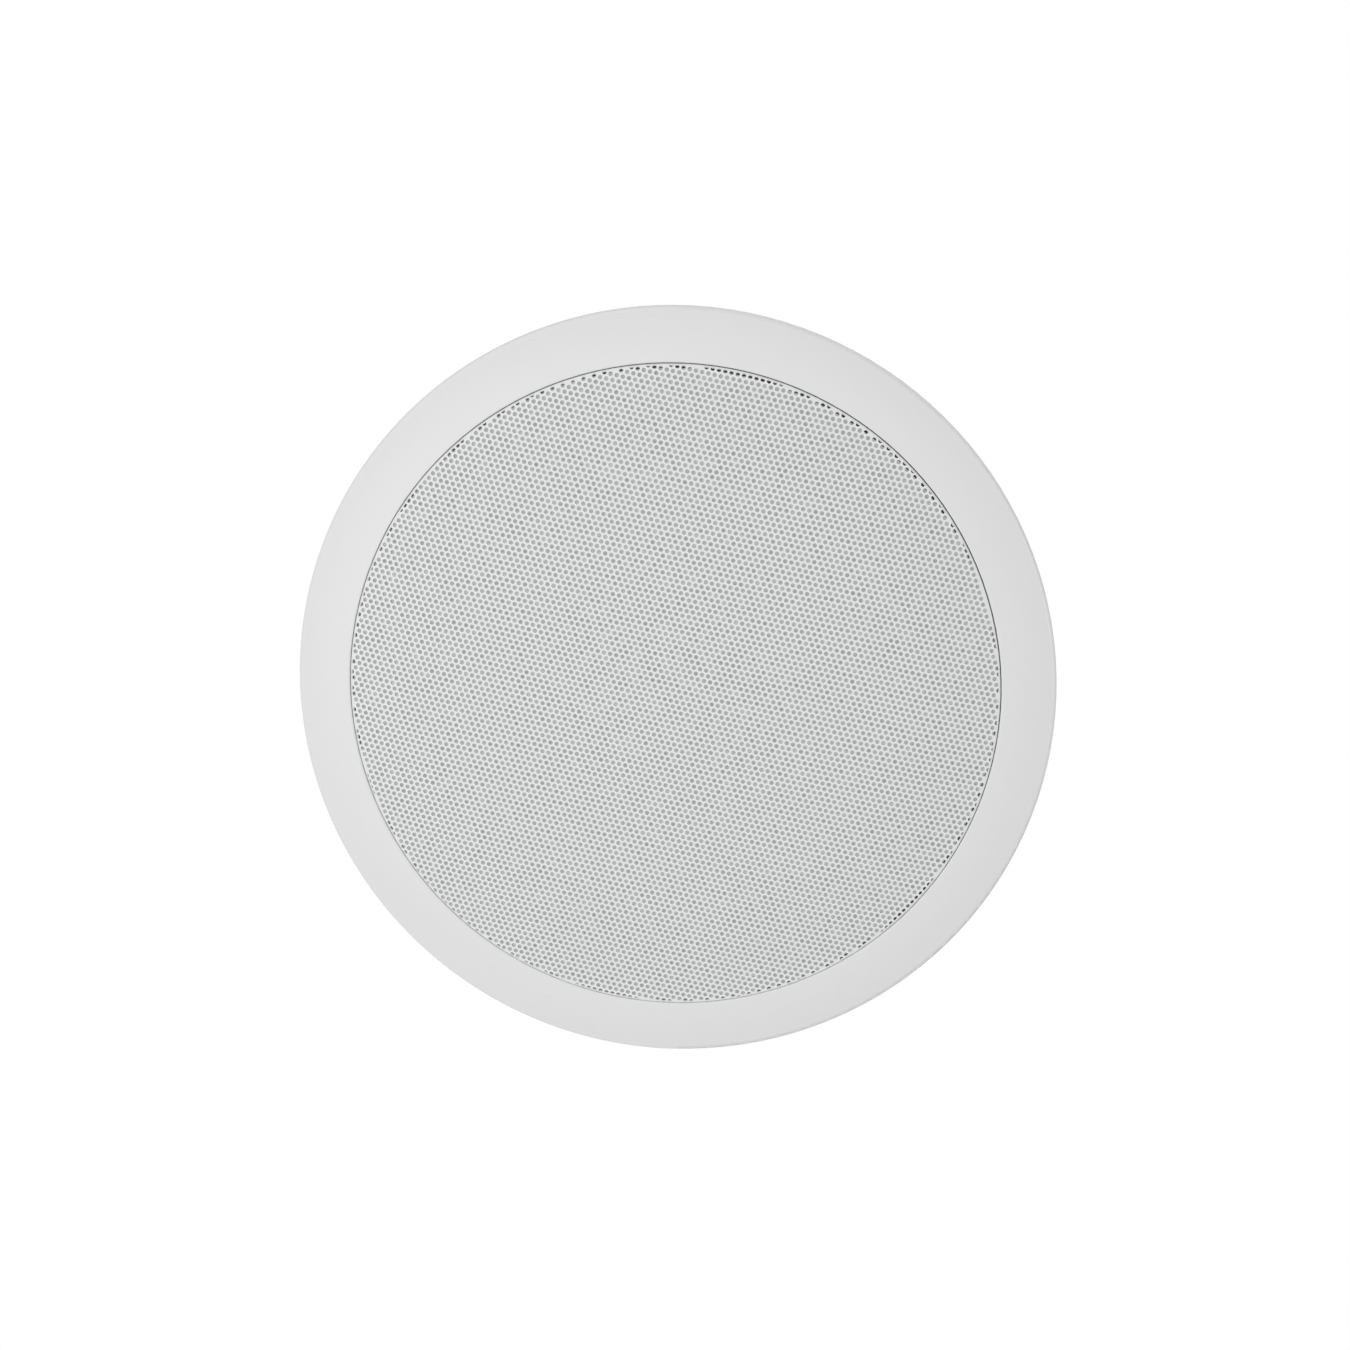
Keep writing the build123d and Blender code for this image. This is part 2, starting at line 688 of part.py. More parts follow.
def clamp_dog():
    """Nylon dog, folded along -Y, with its clamping face at z = 0."""
    plan = make_face(
        Polyline((-dog_width / 2, 0), (-dog_width / 2, -dog_reach + 3), (-dog_width / 2 + 2.2, -dog_reach),
                 (dog_width / 2 - 2.2, -dog_reach), (dog_width / 2, -dog_reach + 3), (dog_width / 2, 0), close=True)
    )
    arm = extrude(plan, dog_height)
    side = make_face(
        Polyline((0.5, -1), (-dog_reach - 1, -1), (-dog_reach - 1, 4.2), (-dog_reach + 8, 5.2), (-11, 7.2),
                 (-hub_radius, dog_height - 1.2), (0.5, dog_height - 1.2), close=True)
    )
    arm = arm & extrude(Plane.YZ * side, dog_width, both=True)
    body = disc(hub_radius, 0, dog_height) + arm
    pocket = block(-dog_width / 2 + 1.5, dog_width / 2 - 1.5, -dog_reach + 5, -hub_radius - 2.2, 2.4, dog_height)
    body -= fillet(pocket.edges().filter_by(Axis.Z), 1.0)
    tooth = make_face(Polyline((-1.1, 0.2), (0, -0.8), (1.1, 0.2), close=True))
    for y in (-13, -17.5, -22):
        body += Pos(0, y, 0) * extrude(Plane.YZ * tooth, dog_width / 2, both=True)
    return body - disc(clamp_screw_radius + thread_clearance, -1, dog_height + 1)


def tray():
    """Shallow plastic tray on the back plate, with posts for the board."""
    base = fillet(Box(tray_x, tray_y, tray_base).edges().filter_by(Axis.Z), 4.0)
    body = Pos(0, 0, yoke_rear + tray_base / 2) * base
    wall = fillet(Box(tray_x, tray_y, standoff_height).edges().filter_by(Axis.Z), 4.0)
    wall -= fillet(Box(tray_x - 3.0, tray_y - 3.0, standoff_height + 2).edges().filter_by(Axis.Z), 2.5)
    body += Pos(0, 0, tray_top + standoff_height / 2 - 0.6) * wall
    less = [Pos(x, 0, 0) * disc(1.9, yoke_rear - 1, tray_top + 1) for x in tray_screw_spots()]
    for x, y in post_spots():
        body += Pos(x, y, 0) * disc(2.7, tray_top - 0.5, board_low)
        less.append(Pos(x, y, 0) * disc(1.0 + thread_clearance, tray_top, board_low + 1))
    return body - less


def tray_screw_spots():
    """Where the tray is screwed to the back plate, along X."""
    return (-tray_screw_spread / 2, tray_screw_spread / 2)


def post_spots():
    """Where the board is screwed down."""
    return [(sx * (tray_x / 2 - 5.0), sy * (tray_y / 2 - 4.6)) for sx in (-1, 1) for sy in (-1, 1)]


def circuit_board():
    """Board with screw holes and lead pads."""
    body = Pos(0, 0, board_low + board_thickness / 2) * Box(tray_x - 3.6, tray_y - 3.6, board_thickness)
    body = fillet(body.edges().filter_by(Axis.Z), 2.0)
    return body - [Pos(x, y, 0) * disc(1.2, board_low - 1, board_top + 1) for x, y in post_spots()]


def crossover_parts():
    """Pieces soldered to the board."""
    spool_x = -14.5
    spool_y = 8.6
    spool_top = board_top + spool_height
    spool = ring(spool_radius, spool_bore, board_top, board_top + spool_flange)
    spool += ring(spool_radius, spool_bore, spool_top - spool_flange, spool_top)
    spool += ring(spool_core, spool_bore, board_top, spool_top)
    winding = ring(
        winding_radius,
        spool_core + thread_clearance,
        board_top + spool_flange + thread_clearance,
        spool_top - spool_flange - thread_clearance,
    )
    film = Pos(5.2, 9.2, board_top + 5.5) * Box(8, 18, 11)
    film = fillet(film.edges(), 0.9)
    can = Pos(-12.5, -9.2, board_top + 5.3) * Rot(0, 90, 0) * Cylinder(5.0, 21)
    groove = Pos(-12.5 - 7.6, -9.2, board_top + 5.3) * Rot(0, 90, 0) * (Cylinder(6, 1.0) - Cylinder(4.5, 2))
    can = fillet(can.edges().filter_by(GeomType.CIRCLE), 0.7) - groove
    legs = [Pos(x, -9.2, 0) * disc(0.4, board_top, board_top + 1.2) for x in (-16.5, -8.5)]
    resistor = fillet((Pos(5.2, -10.2, board_top + 4.0) * Box(7, 18, 7)).edges(), 0.5)
    posts = [Pos(5.2, y, 0) * disc(0.4, board_top, board_top + 0.9) for y in (-16.2, -4.2)]
    for post in posts:
        resistor += post
    for leg in legs:
        can += leg
    return {
        "inductor_bobbin": Pos(spool_x, spool_y, 0) * spool,
        "inductor_winding": Pos(spool_x, spool_y, 0) * winding,
        "film_capacitor": film,
        "electrolytic_capacitor": can,
        "crossover_resistor": resistor,
    }


def terminal_parts():
    """Two-pole push terminal at the board's edge: housing, sprung buttons and contacts."""
    x1 = tray_x / 2 + 0.4
    x0 = x1 - terminal_x
    lip = 2.0
    floor = board_top + 1.8
    cx = x0 + 2.2 + 4.7
    housing = block(x0, x1, -terminal_y / 2, terminal_y / 2, board_top, terminal_top)
    housing = fillet(housing.edges().filter_by(Axis.Z), 1.0)
    less = []
    parts = {}
    for name, y in (("red", -terminal_y / 4 + 0.4), ("black", terminal_y / 4 - 0.4)):
        less.append(block(cx - 4.7, cx + 4.7, y - 5.6, y + 5.6, floor, terminal_top - lip))
        less.append(block(cx - 4.0, cx + 4.0, y - 4.9, y + 4.9, floor, terminal_top + 1))
        less.append(block(cx, x1 + 1, y - 1.6, y + 1.6, floor + 1.6, floor + 4.8))
        flange = block(cx - 4.4, cx + 4.4, y - 5.3, y + 5.3, terminal_top - lip - 1.5, terminal_top - lip)
        stem = block(cx - 3.7, cx + 3.7, y - 4.6, y + 4.6, terminal_top - lip - 0.2, terminal_top + button_travel + 0.3)
        stem = fillet(stem.faces().sort_by(Axis.Z)[-1].edges(), 0.8)
        dish = Pos(cx, y, terminal_top + button_travel + 0.3 + 11.4) * Rot(90, 0, 0) * Cylinder(12, 20)
        parts["button_" + name] = flange + (stem - dish)
        high = terminal_top - lip - 1.5 - 0.2
        strip = make_face(
            Polyline((cx + 3.6, floor), (cx - 3.6, floor), (cx - 3.6, high - 0.6), (cx - 3.0, high), (cx + 2.4, high),
                     (cx + 2.4, high - 0.5), (cx - 2.8, high - 0.5), (cx - 3.1, high - 0.8), (cx - 3.1, floor + 0.5),
                     (cx + 3.6, floor + 0.5), close=True)
        )
        parts["contact_" + name] = Pos(0, y, 0) * extrude(Plane.XZ * strip, 2.6, both=True)
    parts["terminal_housing"] = housing - less
    return parts


def woofer_leads():
    """Two insulated leads from the board down past the magnet to the tags."""
    out = magnet_diameter / 2 + 6.0
    low = shelf_front + basket_sheet + 1.2
    half = tag_pitch / 2
    tag_x = -tag_shelf - 2.6
    solids = []
    drop = min(tag_x - lead_drop, -out - 2.0)
    for y, high in ((-half, 6.0), (half, 7.5)):
        points = [
            (-tray_x / 2 + 2.9, y * 0.35, board_top),
            (-tray_x / 2 + 2.9, y * 0.35, board_top + high),
            (-out, y * 0.8, board_top + high - 3.0),
            (drop, y, low + 16.0),
            (drop, y, low + 3.9),
            (tag_x - 0.05, y, low + 3.9),
        ]
        solids.append(tube_along(points, [2.4, 6.0, 20.0, 2.6], lead_radius))
    return solids


def tweeter_leads():
    """Two leads from the board down outside the basket, through the baffle and along the bridge."""
    out = magnet_diameter / 2 + 5.0
    turn = math.radians(bridge_angle + 188.5)
    foot = math.radians(bridge_angle + 180)
    hole = bridge_screw_radius - 1
    far = aperture_radius - 10.6
    near = pot_radius + 18.0
    solids = []
    for side in (-1, 1):
        hx = hole * math.cos(turn) - side * 1.1 * math.sin(turn)
        hy = hole * math.sin(turn) + side * 1.1 * math.cos(turn)
        ux, uy = math.cos(turn), math.sin(turn)
        ax, ay = math.cos(foot), math.sin(foot)
        lane = bridge_width / 2 + 2.4 + side * 0.95
        ring_out = pot_radius + 3.6
        end = math.sqrt((ring_out + 0.1) ** 2 - (lane - 0.7) ** 2)
        sx, sy = -ay, ax
        px = -4.0 + side * 2.0
        points = [
            (px, -tray_y / 2 + 3.2, board_top),
            (px, -tray_y / 2 + 3.2, board_top + 5.0),
            (out * ux - side * 1.1 * uy, out * uy + side * 1.1 * ux, board_top + 1.0),
            ((out + 2) * ux - side * 1.1 * uy, (out + 2) * uy + side * 1.1 * ux, base_rear - 4),
            (hx, hy, baffle_rear + 14.0),
            (hx, hy, bridge_z + 1.6),
            (far * ax + sx * lane, far * ay + sy * lane, bridge_z + 1.4),
            (near * ax + sx * lane, near * ay + sy * lane, bridge_z + 1.9),
            (end * ax + sx * lane, end * ay + sy * lane, bridge_z + 3.4),
        ]
        solids.append(tube_along(points, 2.2, 0.7))
    return solids


def turned_copies(solid, angles, radius, z):
    """The same solid at several places on a circle."""
    return [around(angle, radius) * Pos(0, 0, z) * solid for angle in angles]


def build():
    """Every node by name, as one solid or a list of equal ones."""
    head = Rot(180, 0, 0)
    nodes = {
        "bezel_frame": bezel_frame(),
        "grille": grille(),
        "scrim_cloth": scrim_cloth(),
        "woofer_basket": woofer_basket(),
        "woofer_gasket": gasket(),
        "woofer_surround": surround(),
        "woofer_cone": cone(),
        "dust_cap": dust_cap(),
        "voice_coil_former": ring(former_radius + former_wall, former_radius, neck_z - 1.5, former_back),
        "voice_coil": ring(
            coil_radius,
            former_radius + former_wall,
            (base_rear + plate_rear - coil_length) / 2,
            (base_rear + plate_rear + coil_length) / 2,
        ),
        "spider": spider(),
        "woofer_top_plate": ring(top_plate_diameter / 2, plate_bore, base_rear, plate_rear),
        "woofer_magnet": magnet(),
        "woofer_yoke": yoke(),
        "tag_strip": tag_strip(),
        "solder_tags": solder_tags(),
        "tinsel_leads": tinsel_leads(),
        "woofer_screws": turned_copies(
            head * pan_screw(3.2, 2.2, 1.5, rim_rear - baffle_z + 1.4), WOOFER_SCREW_ANGLES, woofer_screw_radius, rim_rear
        ),
        "tweeter_bridge": tweeter_bridge(),
        "bridge_screws": turned_copies(
            pan_screw(3.2, 2.0, 1.5, baffle_rear - bridge_z + 2.4),
            (bridge_angle, bridge_angle + 180),
            bridge_screw_radius,
            bridge_z,
        ),
        "crossover_tray": tray(),
        "circuit_board": circuit_board(),
        "tray_screws": [
            Pos(x, 0, tray_top) * head * pan_screw(3.2, 1.9, 1.6, tray_base + tray_screw_grip)
            for x in tray_screw_spots()
        ],
        "board_screws": [
            Pos(x, y, board_top) * head * pan_screw(2.0, 1.4, 1.0, board_thickness + standoff_height - 0.5)
            for x, y in post_spots()
        ],
        "woofer_leads": woofer_leads(),
        "tweeter_leads": tweeter_leads(),
    }
    nodes.update(tweeter_parts())
    nodes.update(crossover_parts())
    nodes.update(terminal_parts())
    for n, angle in enumerate(clamp_angles, 1):
        place = around(angle, clamp_radius)
        nodes[f"clamp_screw_{n}"] = place * Pos(0, 0, shelf_z + clamp_seat) * clamp_screw()
        nodes[f"clamp_dog_{n}"] = place * Pos(0, 0, dog_low) * clamp_dog()
    return nodes


def main():
    """Write one STEP file for each node."""
    for name, made in build().items():
        solids = made if isinstance(made, list) else [made]
        flat = [s for item in solids for s in item.solids()]
        shape = flat[0] if len(flat) == 1 else Compound(children=flat)
        export_step(shape, f"parts/{name}.step")
        print(f"{name}: {len(flat)} solids, {sum(s.volume for s in flat):.0f} mm3")


if __name__ == "__main__":
    main()
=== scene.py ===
"""Dresses the in-ceiling speaker: perforated grille, cloth, drivers, crossover and clamps, in metres."""

from __future__ import annotations

import json
import logging
import math
from contextlib import contextmanager
from dataclasses import dataclass
from enum import Enum
from typing import Callable, Iterator, Sequence

import bpy
import numpy as np
from mathutils import Matrix, Vector
from mathutils.geometry import delaunay_2d_cdt

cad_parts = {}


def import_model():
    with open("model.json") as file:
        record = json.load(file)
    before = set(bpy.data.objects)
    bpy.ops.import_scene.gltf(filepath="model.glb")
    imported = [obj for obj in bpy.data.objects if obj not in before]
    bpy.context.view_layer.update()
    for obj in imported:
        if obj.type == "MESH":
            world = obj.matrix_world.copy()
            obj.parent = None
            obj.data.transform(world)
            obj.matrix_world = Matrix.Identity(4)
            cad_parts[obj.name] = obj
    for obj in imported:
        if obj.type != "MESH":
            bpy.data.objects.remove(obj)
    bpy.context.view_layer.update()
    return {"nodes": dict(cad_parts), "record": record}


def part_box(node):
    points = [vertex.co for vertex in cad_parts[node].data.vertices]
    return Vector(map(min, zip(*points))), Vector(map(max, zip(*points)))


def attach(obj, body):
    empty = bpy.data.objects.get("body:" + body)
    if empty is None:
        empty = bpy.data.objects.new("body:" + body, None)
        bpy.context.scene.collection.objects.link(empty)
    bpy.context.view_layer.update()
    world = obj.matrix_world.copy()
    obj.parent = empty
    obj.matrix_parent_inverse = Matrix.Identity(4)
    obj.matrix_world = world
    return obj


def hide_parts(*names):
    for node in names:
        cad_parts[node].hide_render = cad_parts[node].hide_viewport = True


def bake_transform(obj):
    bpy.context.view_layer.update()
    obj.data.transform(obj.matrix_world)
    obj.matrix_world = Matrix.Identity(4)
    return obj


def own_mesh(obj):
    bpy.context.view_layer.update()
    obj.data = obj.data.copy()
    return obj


LOG = logging.getLogger("ceiling_speaker")
MM = 0.001
# Corners closer than these are one: in new shells, in copied CAD meshes and in the grille's plan.
WELD = 1e-6
CAD_WELD = 1e-7
PLAN_WELD = 1e-9
# Edges sharper than these degrees stay crisp: on plain pieces, on wires and on soft pieces.
CRISP_ANGLE = 35.0
WIRE_ANGLE = 60.0
SOFT_ANGLE = 50.0

Colour = tuple[float, float, float]
Point = tuple[float, float]
Spot = tuple[float, float, float]
Piece = bpy.types.Object
Socket = bpy.types.NodeSocket
Materials = dict[str, bpy.types.Material]


class Body(str, Enum):
    """The rigid bodies that new pieces ride on."""

    HOUSING = "housing"
    CONE = "cone_assembly"


class Pattern(Enum):
    """How a finish varies over its surface."""

    GRAIN = "Fine grain"
    TURNED = "Turned rings"
    WEAVE = "Cloth weave"
    WOUND = "Wound wire"
    FELT = "Matted fibre"


class Graph:
    """Adds nodes to one node tree and wires their sockets."""

    # A Mix node's sockets for its factor and its two colours, and for the mixed colour.
    mix_inputs = (0, 6, 7)
    mix_output = 2

    def __init__(self, tree: bpy.types.NodeTree) -> None:
        """Starts on an emptied tree."""
        self.tree = tree
        tree.nodes.clear()

    def feed(self, socket: Socket, value: object) -> None:
        """Links an input to another node's output, or sets its value.

        Args:
            socket: The input.
            value: An output socket, a number or a colour.
        """
        if isinstance(value, Socket):
            self.tree.links.new(value, socket)
        else:
            socket.default_value = value

    def add(self, kind: str, **inputs: object) -> bpy.types.Node:
        """Adds one node.

        Args:
            kind: The node's Blender type.
            inputs: Attributes of the node, or values or sockets for its inputs with spaces as underscores.

        Returns:
            The new node.
        """
        node = self.tree.nodes.new(kind)
        for name, value in inputs.items():
            if hasattr(node, name):
                setattr(node, name, value)
                continue
            label = name.replace("_", " ")
            self.feed(next(s for s in node.inputs if s.name == label and s.enabled), value)
        return node

    def math(self, operation: str, *values: object) -> Socket:
        """Adds a Math node.

        Args:
            operation: What it works out.
            values: Its numbers or sockets, in order.

        Returns:
            Its output.
        """
        node = self.tree.nodes.new("ShaderNodeMath")
        node.operation = operation
        for socket, value in zip(node.inputs, values):
            self.feed(socket, value)
        return node.outputs[0]

    def mix(self, factor: object, first: object, second: object) -> Socket:
        """Adds a colour Mix node.

        Args:
            factor: How much of the second colour there is.
            first: The first colour or socket.
            second: The second colour or socket.

        Returns:
            Its output.
        """
        node = self.tree.nodes.new("ShaderNodeMix")
        node.data_type = "RGBA"
        for index, value in zip(self.mix_inputs, (factor, first, second)):
            self.feed(node.inputs[index], value)
        return node.outputs[self.mix_output]

    def place(self) -> Socket:
        """Object coordinates."""
        return self.add("ShaderNodeTexCoord").outputs["Object"]

    def noise(self, place: Socket, scale: object, detail: float, roughness: float = 0.5) -> Socket:
        """Adds a Noise texture.

        Args:
            place: The coordinates that it reads.
            scale: Its scale, or a socket for it.
            detail: How many finer layers it has.
            roughness: How strong the finer layers are.

        Returns:
            Its grey output.
        """
        node = self.add("ShaderNodeTexNoise", Vector=place, Scale=scale, Detail=detail, Roughness=roughness)
        return node.outputs["Fac"]

    def share(self, first: Socket, second: Socket, part: float) -> Socket:
        """Sums a part of the first value and the rest of the second."""
        return self.math("MULTIPLY_ADD", first, part, self.math("MULTIPLY", second, 1.0 - part))

    def seen(self) -> Socket:
        """One for rays that show a surface directly, in a mirror or through glass, and nought for others."""
        path = self.add("ShaderNodeLightPath").outputs
        seen = self.math("MAXIMUM", path["Is Camera Ray"], path["Is Glossy Ray"])
        return self.math("MAXIMUM", seen, path["Is Transmission Ray"])


Maker = Callable[[Graph, Socket, Socket], tuple[Socket, Socket]]


class PatternLibrary:
    """The shader node groups that several finishes share.

    Each maker below takes its group's graph, the object coordinates and the pattern's scale.
    """

    inputs = (
        ("Scale", "NodeSocketFloat"),
        ("Light", "NodeSocketColor"),
        ("Dark", "NodeSocketColor"),
        ("Smooth", "NodeSocketFloat"),
        ("Rough", "NodeSocketFloat"),
    )
    outputs = (("Color", "NodeSocketColor"), ("Roughness", "NodeSocketFloat"), ("Height", "NodeSocketFloat"))

    def __init__(self) -> None:
        """Builds each group once."""
        makers: dict[Pattern, Maker] = {
            Pattern.GRAIN: self._grain,
            Pattern.TURNED: self._turned,
            Pattern.WEAVE: self._weave,
            Pattern.WOUND: self._wound,
            Pattern.FELT: self._felt,
        }
        self.groups = {pattern: self._build(pattern, maker) for pattern, maker in makers.items()}

    def _build(self, pattern: Pattern, maker: Maker) -> bpy.types.ShaderNodeTree:
        """Makes one group with the same sockets as the others.

        Args:
            pattern: Which group it is.
            maker: Adds the nodes and returns the colour mask and the height.

        Returns:
            The node group.
        """
        tree = bpy.data.node_groups.new(pattern.value, "ShaderNodeTree")
        for way, sockets in (("INPUT", self.inputs), ("OUTPUT", self.outputs)):
            for name, kind in sockets:
                tree.interface.new_socket(name, in_out=way, socket_type=kind)
        graph = Graph(tree)
        given = graph.add("NodeGroupInput").outputs
        mask, height = maker(graph, graph.place(), given["Scale"])
        colour = graph.mix(mask, given["Dark"], given["Light"])
        spread = graph.math("SUBTRACT", given["Rough"], given["Smooth"])
        rough = graph.math("MULTIPLY_ADD", mask, spread, given["Smooth"])
        graph.add("NodeGroupOutput", Color=colour, Roughness=rough, Height=height)
        return tree

    @staticmethod
    def _grain(graph: Graph, place: Socket, scale: Socket) -> tuple[Socket, Socket]:
        """Adds broad cloudy tone for the colour and fine moulded grain for the height.

        Args:
            graph: The group's graph.
            place: Object coordinates.
            scale: The grain's scale.

        Returns:
            The colour mask and the height.
        """
        cloud_scale = 0.035
        cloud = graph.noise(place, graph.math("MULTIPLY", scale, cloud_scale), detail=4.0, roughness=0.6)
        fine = graph.noise(place, scale, detail=3.0, roughness=0.55)
        return graph.share(cloud, fine, part=0.65), fine

    @staticmethod
    def _turned(graph: Graph, place: Socket, scale: Socket) -> tuple[Socket, Socket]:
        """Adds tool marks round the axis of a turned plate, with a little grain.

        Args:
            graph: The group's graph.
            place: Object coordinates.
            scale: The tool marks' scale.

        Returns:
            The colour mask and the height.
        """
        rise = 1.3
        cloud_scale = 90.0
        x, y, z = graph.add("ShaderNodeSeparateXYZ", Vector=place).outputs
        square = graph.math("MULTIPLY_ADD", x, x, graph.math("MULTIPLY", y, y))
        along = graph.math("ADD", graph.math("SQRT", square), graph.math("MULTIPLY", z, rise))
        rings = graph.add(
            "ShaderNodeTexNoise", noise_dimensions="1D", W=along, Scale=scale, Detail=4.0, Roughness=0.7
        ).outputs["Fac"]
        cloud = graph.noise(place, cloud_scale, detail=5.0, roughness=0.65)
        return graph.share(rings, cloud, part=0.55), rings

    @staticmethod
    def _weave(graph: Graph, place: Socket, scale: Socket) -> tuple[Socket, Socket]:
        """Adds over-and-under threads with slubs.

        Args:
            graph: The group's graph.
            place: Object coordinates.
            scale: The threads' scale.

        Returns:
            The colour mask and the height.
        """
        slub_scale = 420.0
        slub_jog = 1.2
        slub = graph.noise(place, slub_scale, detail=3.0, roughness=0.6)
        x, y, _ = graph.add("ShaderNodeSeparateXYZ", Vector=place).outputs
        jog = graph.math("MULTIPLY", slub, slub_jog)
        warp = graph.math("SINE", graph.math("MULTIPLY_ADD", x, scale, jog))
        weft = graph.math("SINE", graph.math("MULTIPLY_ADD", y, scale, jog))
        over = graph.math("GREATER_THAN", graph.math("MULTIPLY", warp, weft), 0.0)
        under = graph.math("SUBTRACT", 1.0, over)
        below = graph.math("MULTIPLY", graph.math("ABSOLUTE", weft), under)
        height = graph.math("MULTIPLY_ADD", graph.math("ABSOLUTE", warp), over, below)
        return graph.share(height, slub, part=0.7), height

    @staticmethod
    def _wound(graph: Graph, place: Socket, scale: Socket) -> tuple[Socket, Socket]:
        """Adds turns of enamelled wire stacked along Z.

        Args:
            graph: The group's graph.
            place: Object coordinates.
            scale: The turns' scale.

        Returns:
            The colour mask and the height.
        """
        cloud_scale = 160.0
        _, _, z = graph.add("ShaderNodeSeparateXYZ", Vector=place).outputs
        wave = graph.math("ABSOLUTE", graph.math("SINE", graph.math("MULTIPLY", z, scale)))
        cloud = graph.noise(place, cloud_scale, detail=3.0)
        return graph.share(wave, cloud, part=0.6), wave

    @staticmethod
    def _felt(graph: Graph, place: Socket, scale: Socket) -> tuple[Socket, Socket]:
        """Adds blotches about as wide as a punched hole, with fine fibres over them.

        Args:
            graph: The group's graph.
            place: Object coordinates.
            scale: The blotches' scale.

        Returns:
            The colour mask and the height.
        """
        fibre_scale = 9.0
        middle = 0.5
        blotch_gain = 2.4
        fibre_gain = 0.6
        blotch = graph.noise(place, scale, detail=1.5)
        fibre = graph.noise(place, graph.math("MULTIPLY", scale, fibre_scale), detail=3.0, roughness=0.7)
        spread = graph.math("MULTIPLY_ADD", graph.math("SUBTRACT", blotch, middle), blotch_gain, middle)
        mask = graph.math("MULTIPLY_ADD", graph.math("SUBTRACT", fibre, middle), fibre_gain, spread)
        return graph.math("MINIMUM", graph.math("MAXIMUM", mask, 0.0), 1.0), fibre


@dataclass(frozen=True)
class Finish:
    """One surface finish, built from a shared pattern."""

    name: str
    light: Colour
    dark: Colour
    smooth: float
    rough: float
    pattern: Pattern = Pattern.GRAIN
    scale: float = 2400.0
    bump: float = 0.15
    depth: float = 0.00006
    metallic: float = 0.0
    coat: float = 0.0
    sheen: float = 0.0

    def build(self, library: PatternLibrary) -> bpy.types.Material:
        """Makes the material.

        Args:
            library: The shared pattern groups.

        Returns:
            The finished material.
        """
        material = bpy.data.materials.new(self.name)
        material.use_nodes = True
        graph = Graph(material.node_tree)
        pattern = graph.add(
            "ShaderNodeGroup", node_tree=library.groups[self.pattern], Scale=self.scale,
            Light=(*self.light, 1.0), Dark=(*self.dark, 1.0), Smooth=self.smooth, Rough=self.rough,
        ).outputs
        bump = graph.add("ShaderNodeBump", Strength=self.bump, Distance=self.depth, Height=pattern["Height"])
        shader = graph.add(
            "ShaderNodeBsdfPrincipled", Base_Color=pattern["Color"], Roughness=pattern["Roughness"],
            Normal=bump.outputs["Normal"], Metallic=self.metallic,
            Coat_Weight=self.coat, Sheen_Weight=self.sheen,
        )
        graph.add("ShaderNodeOutputMaterial", Surface=shader.outputs["BSDF"])
        return material


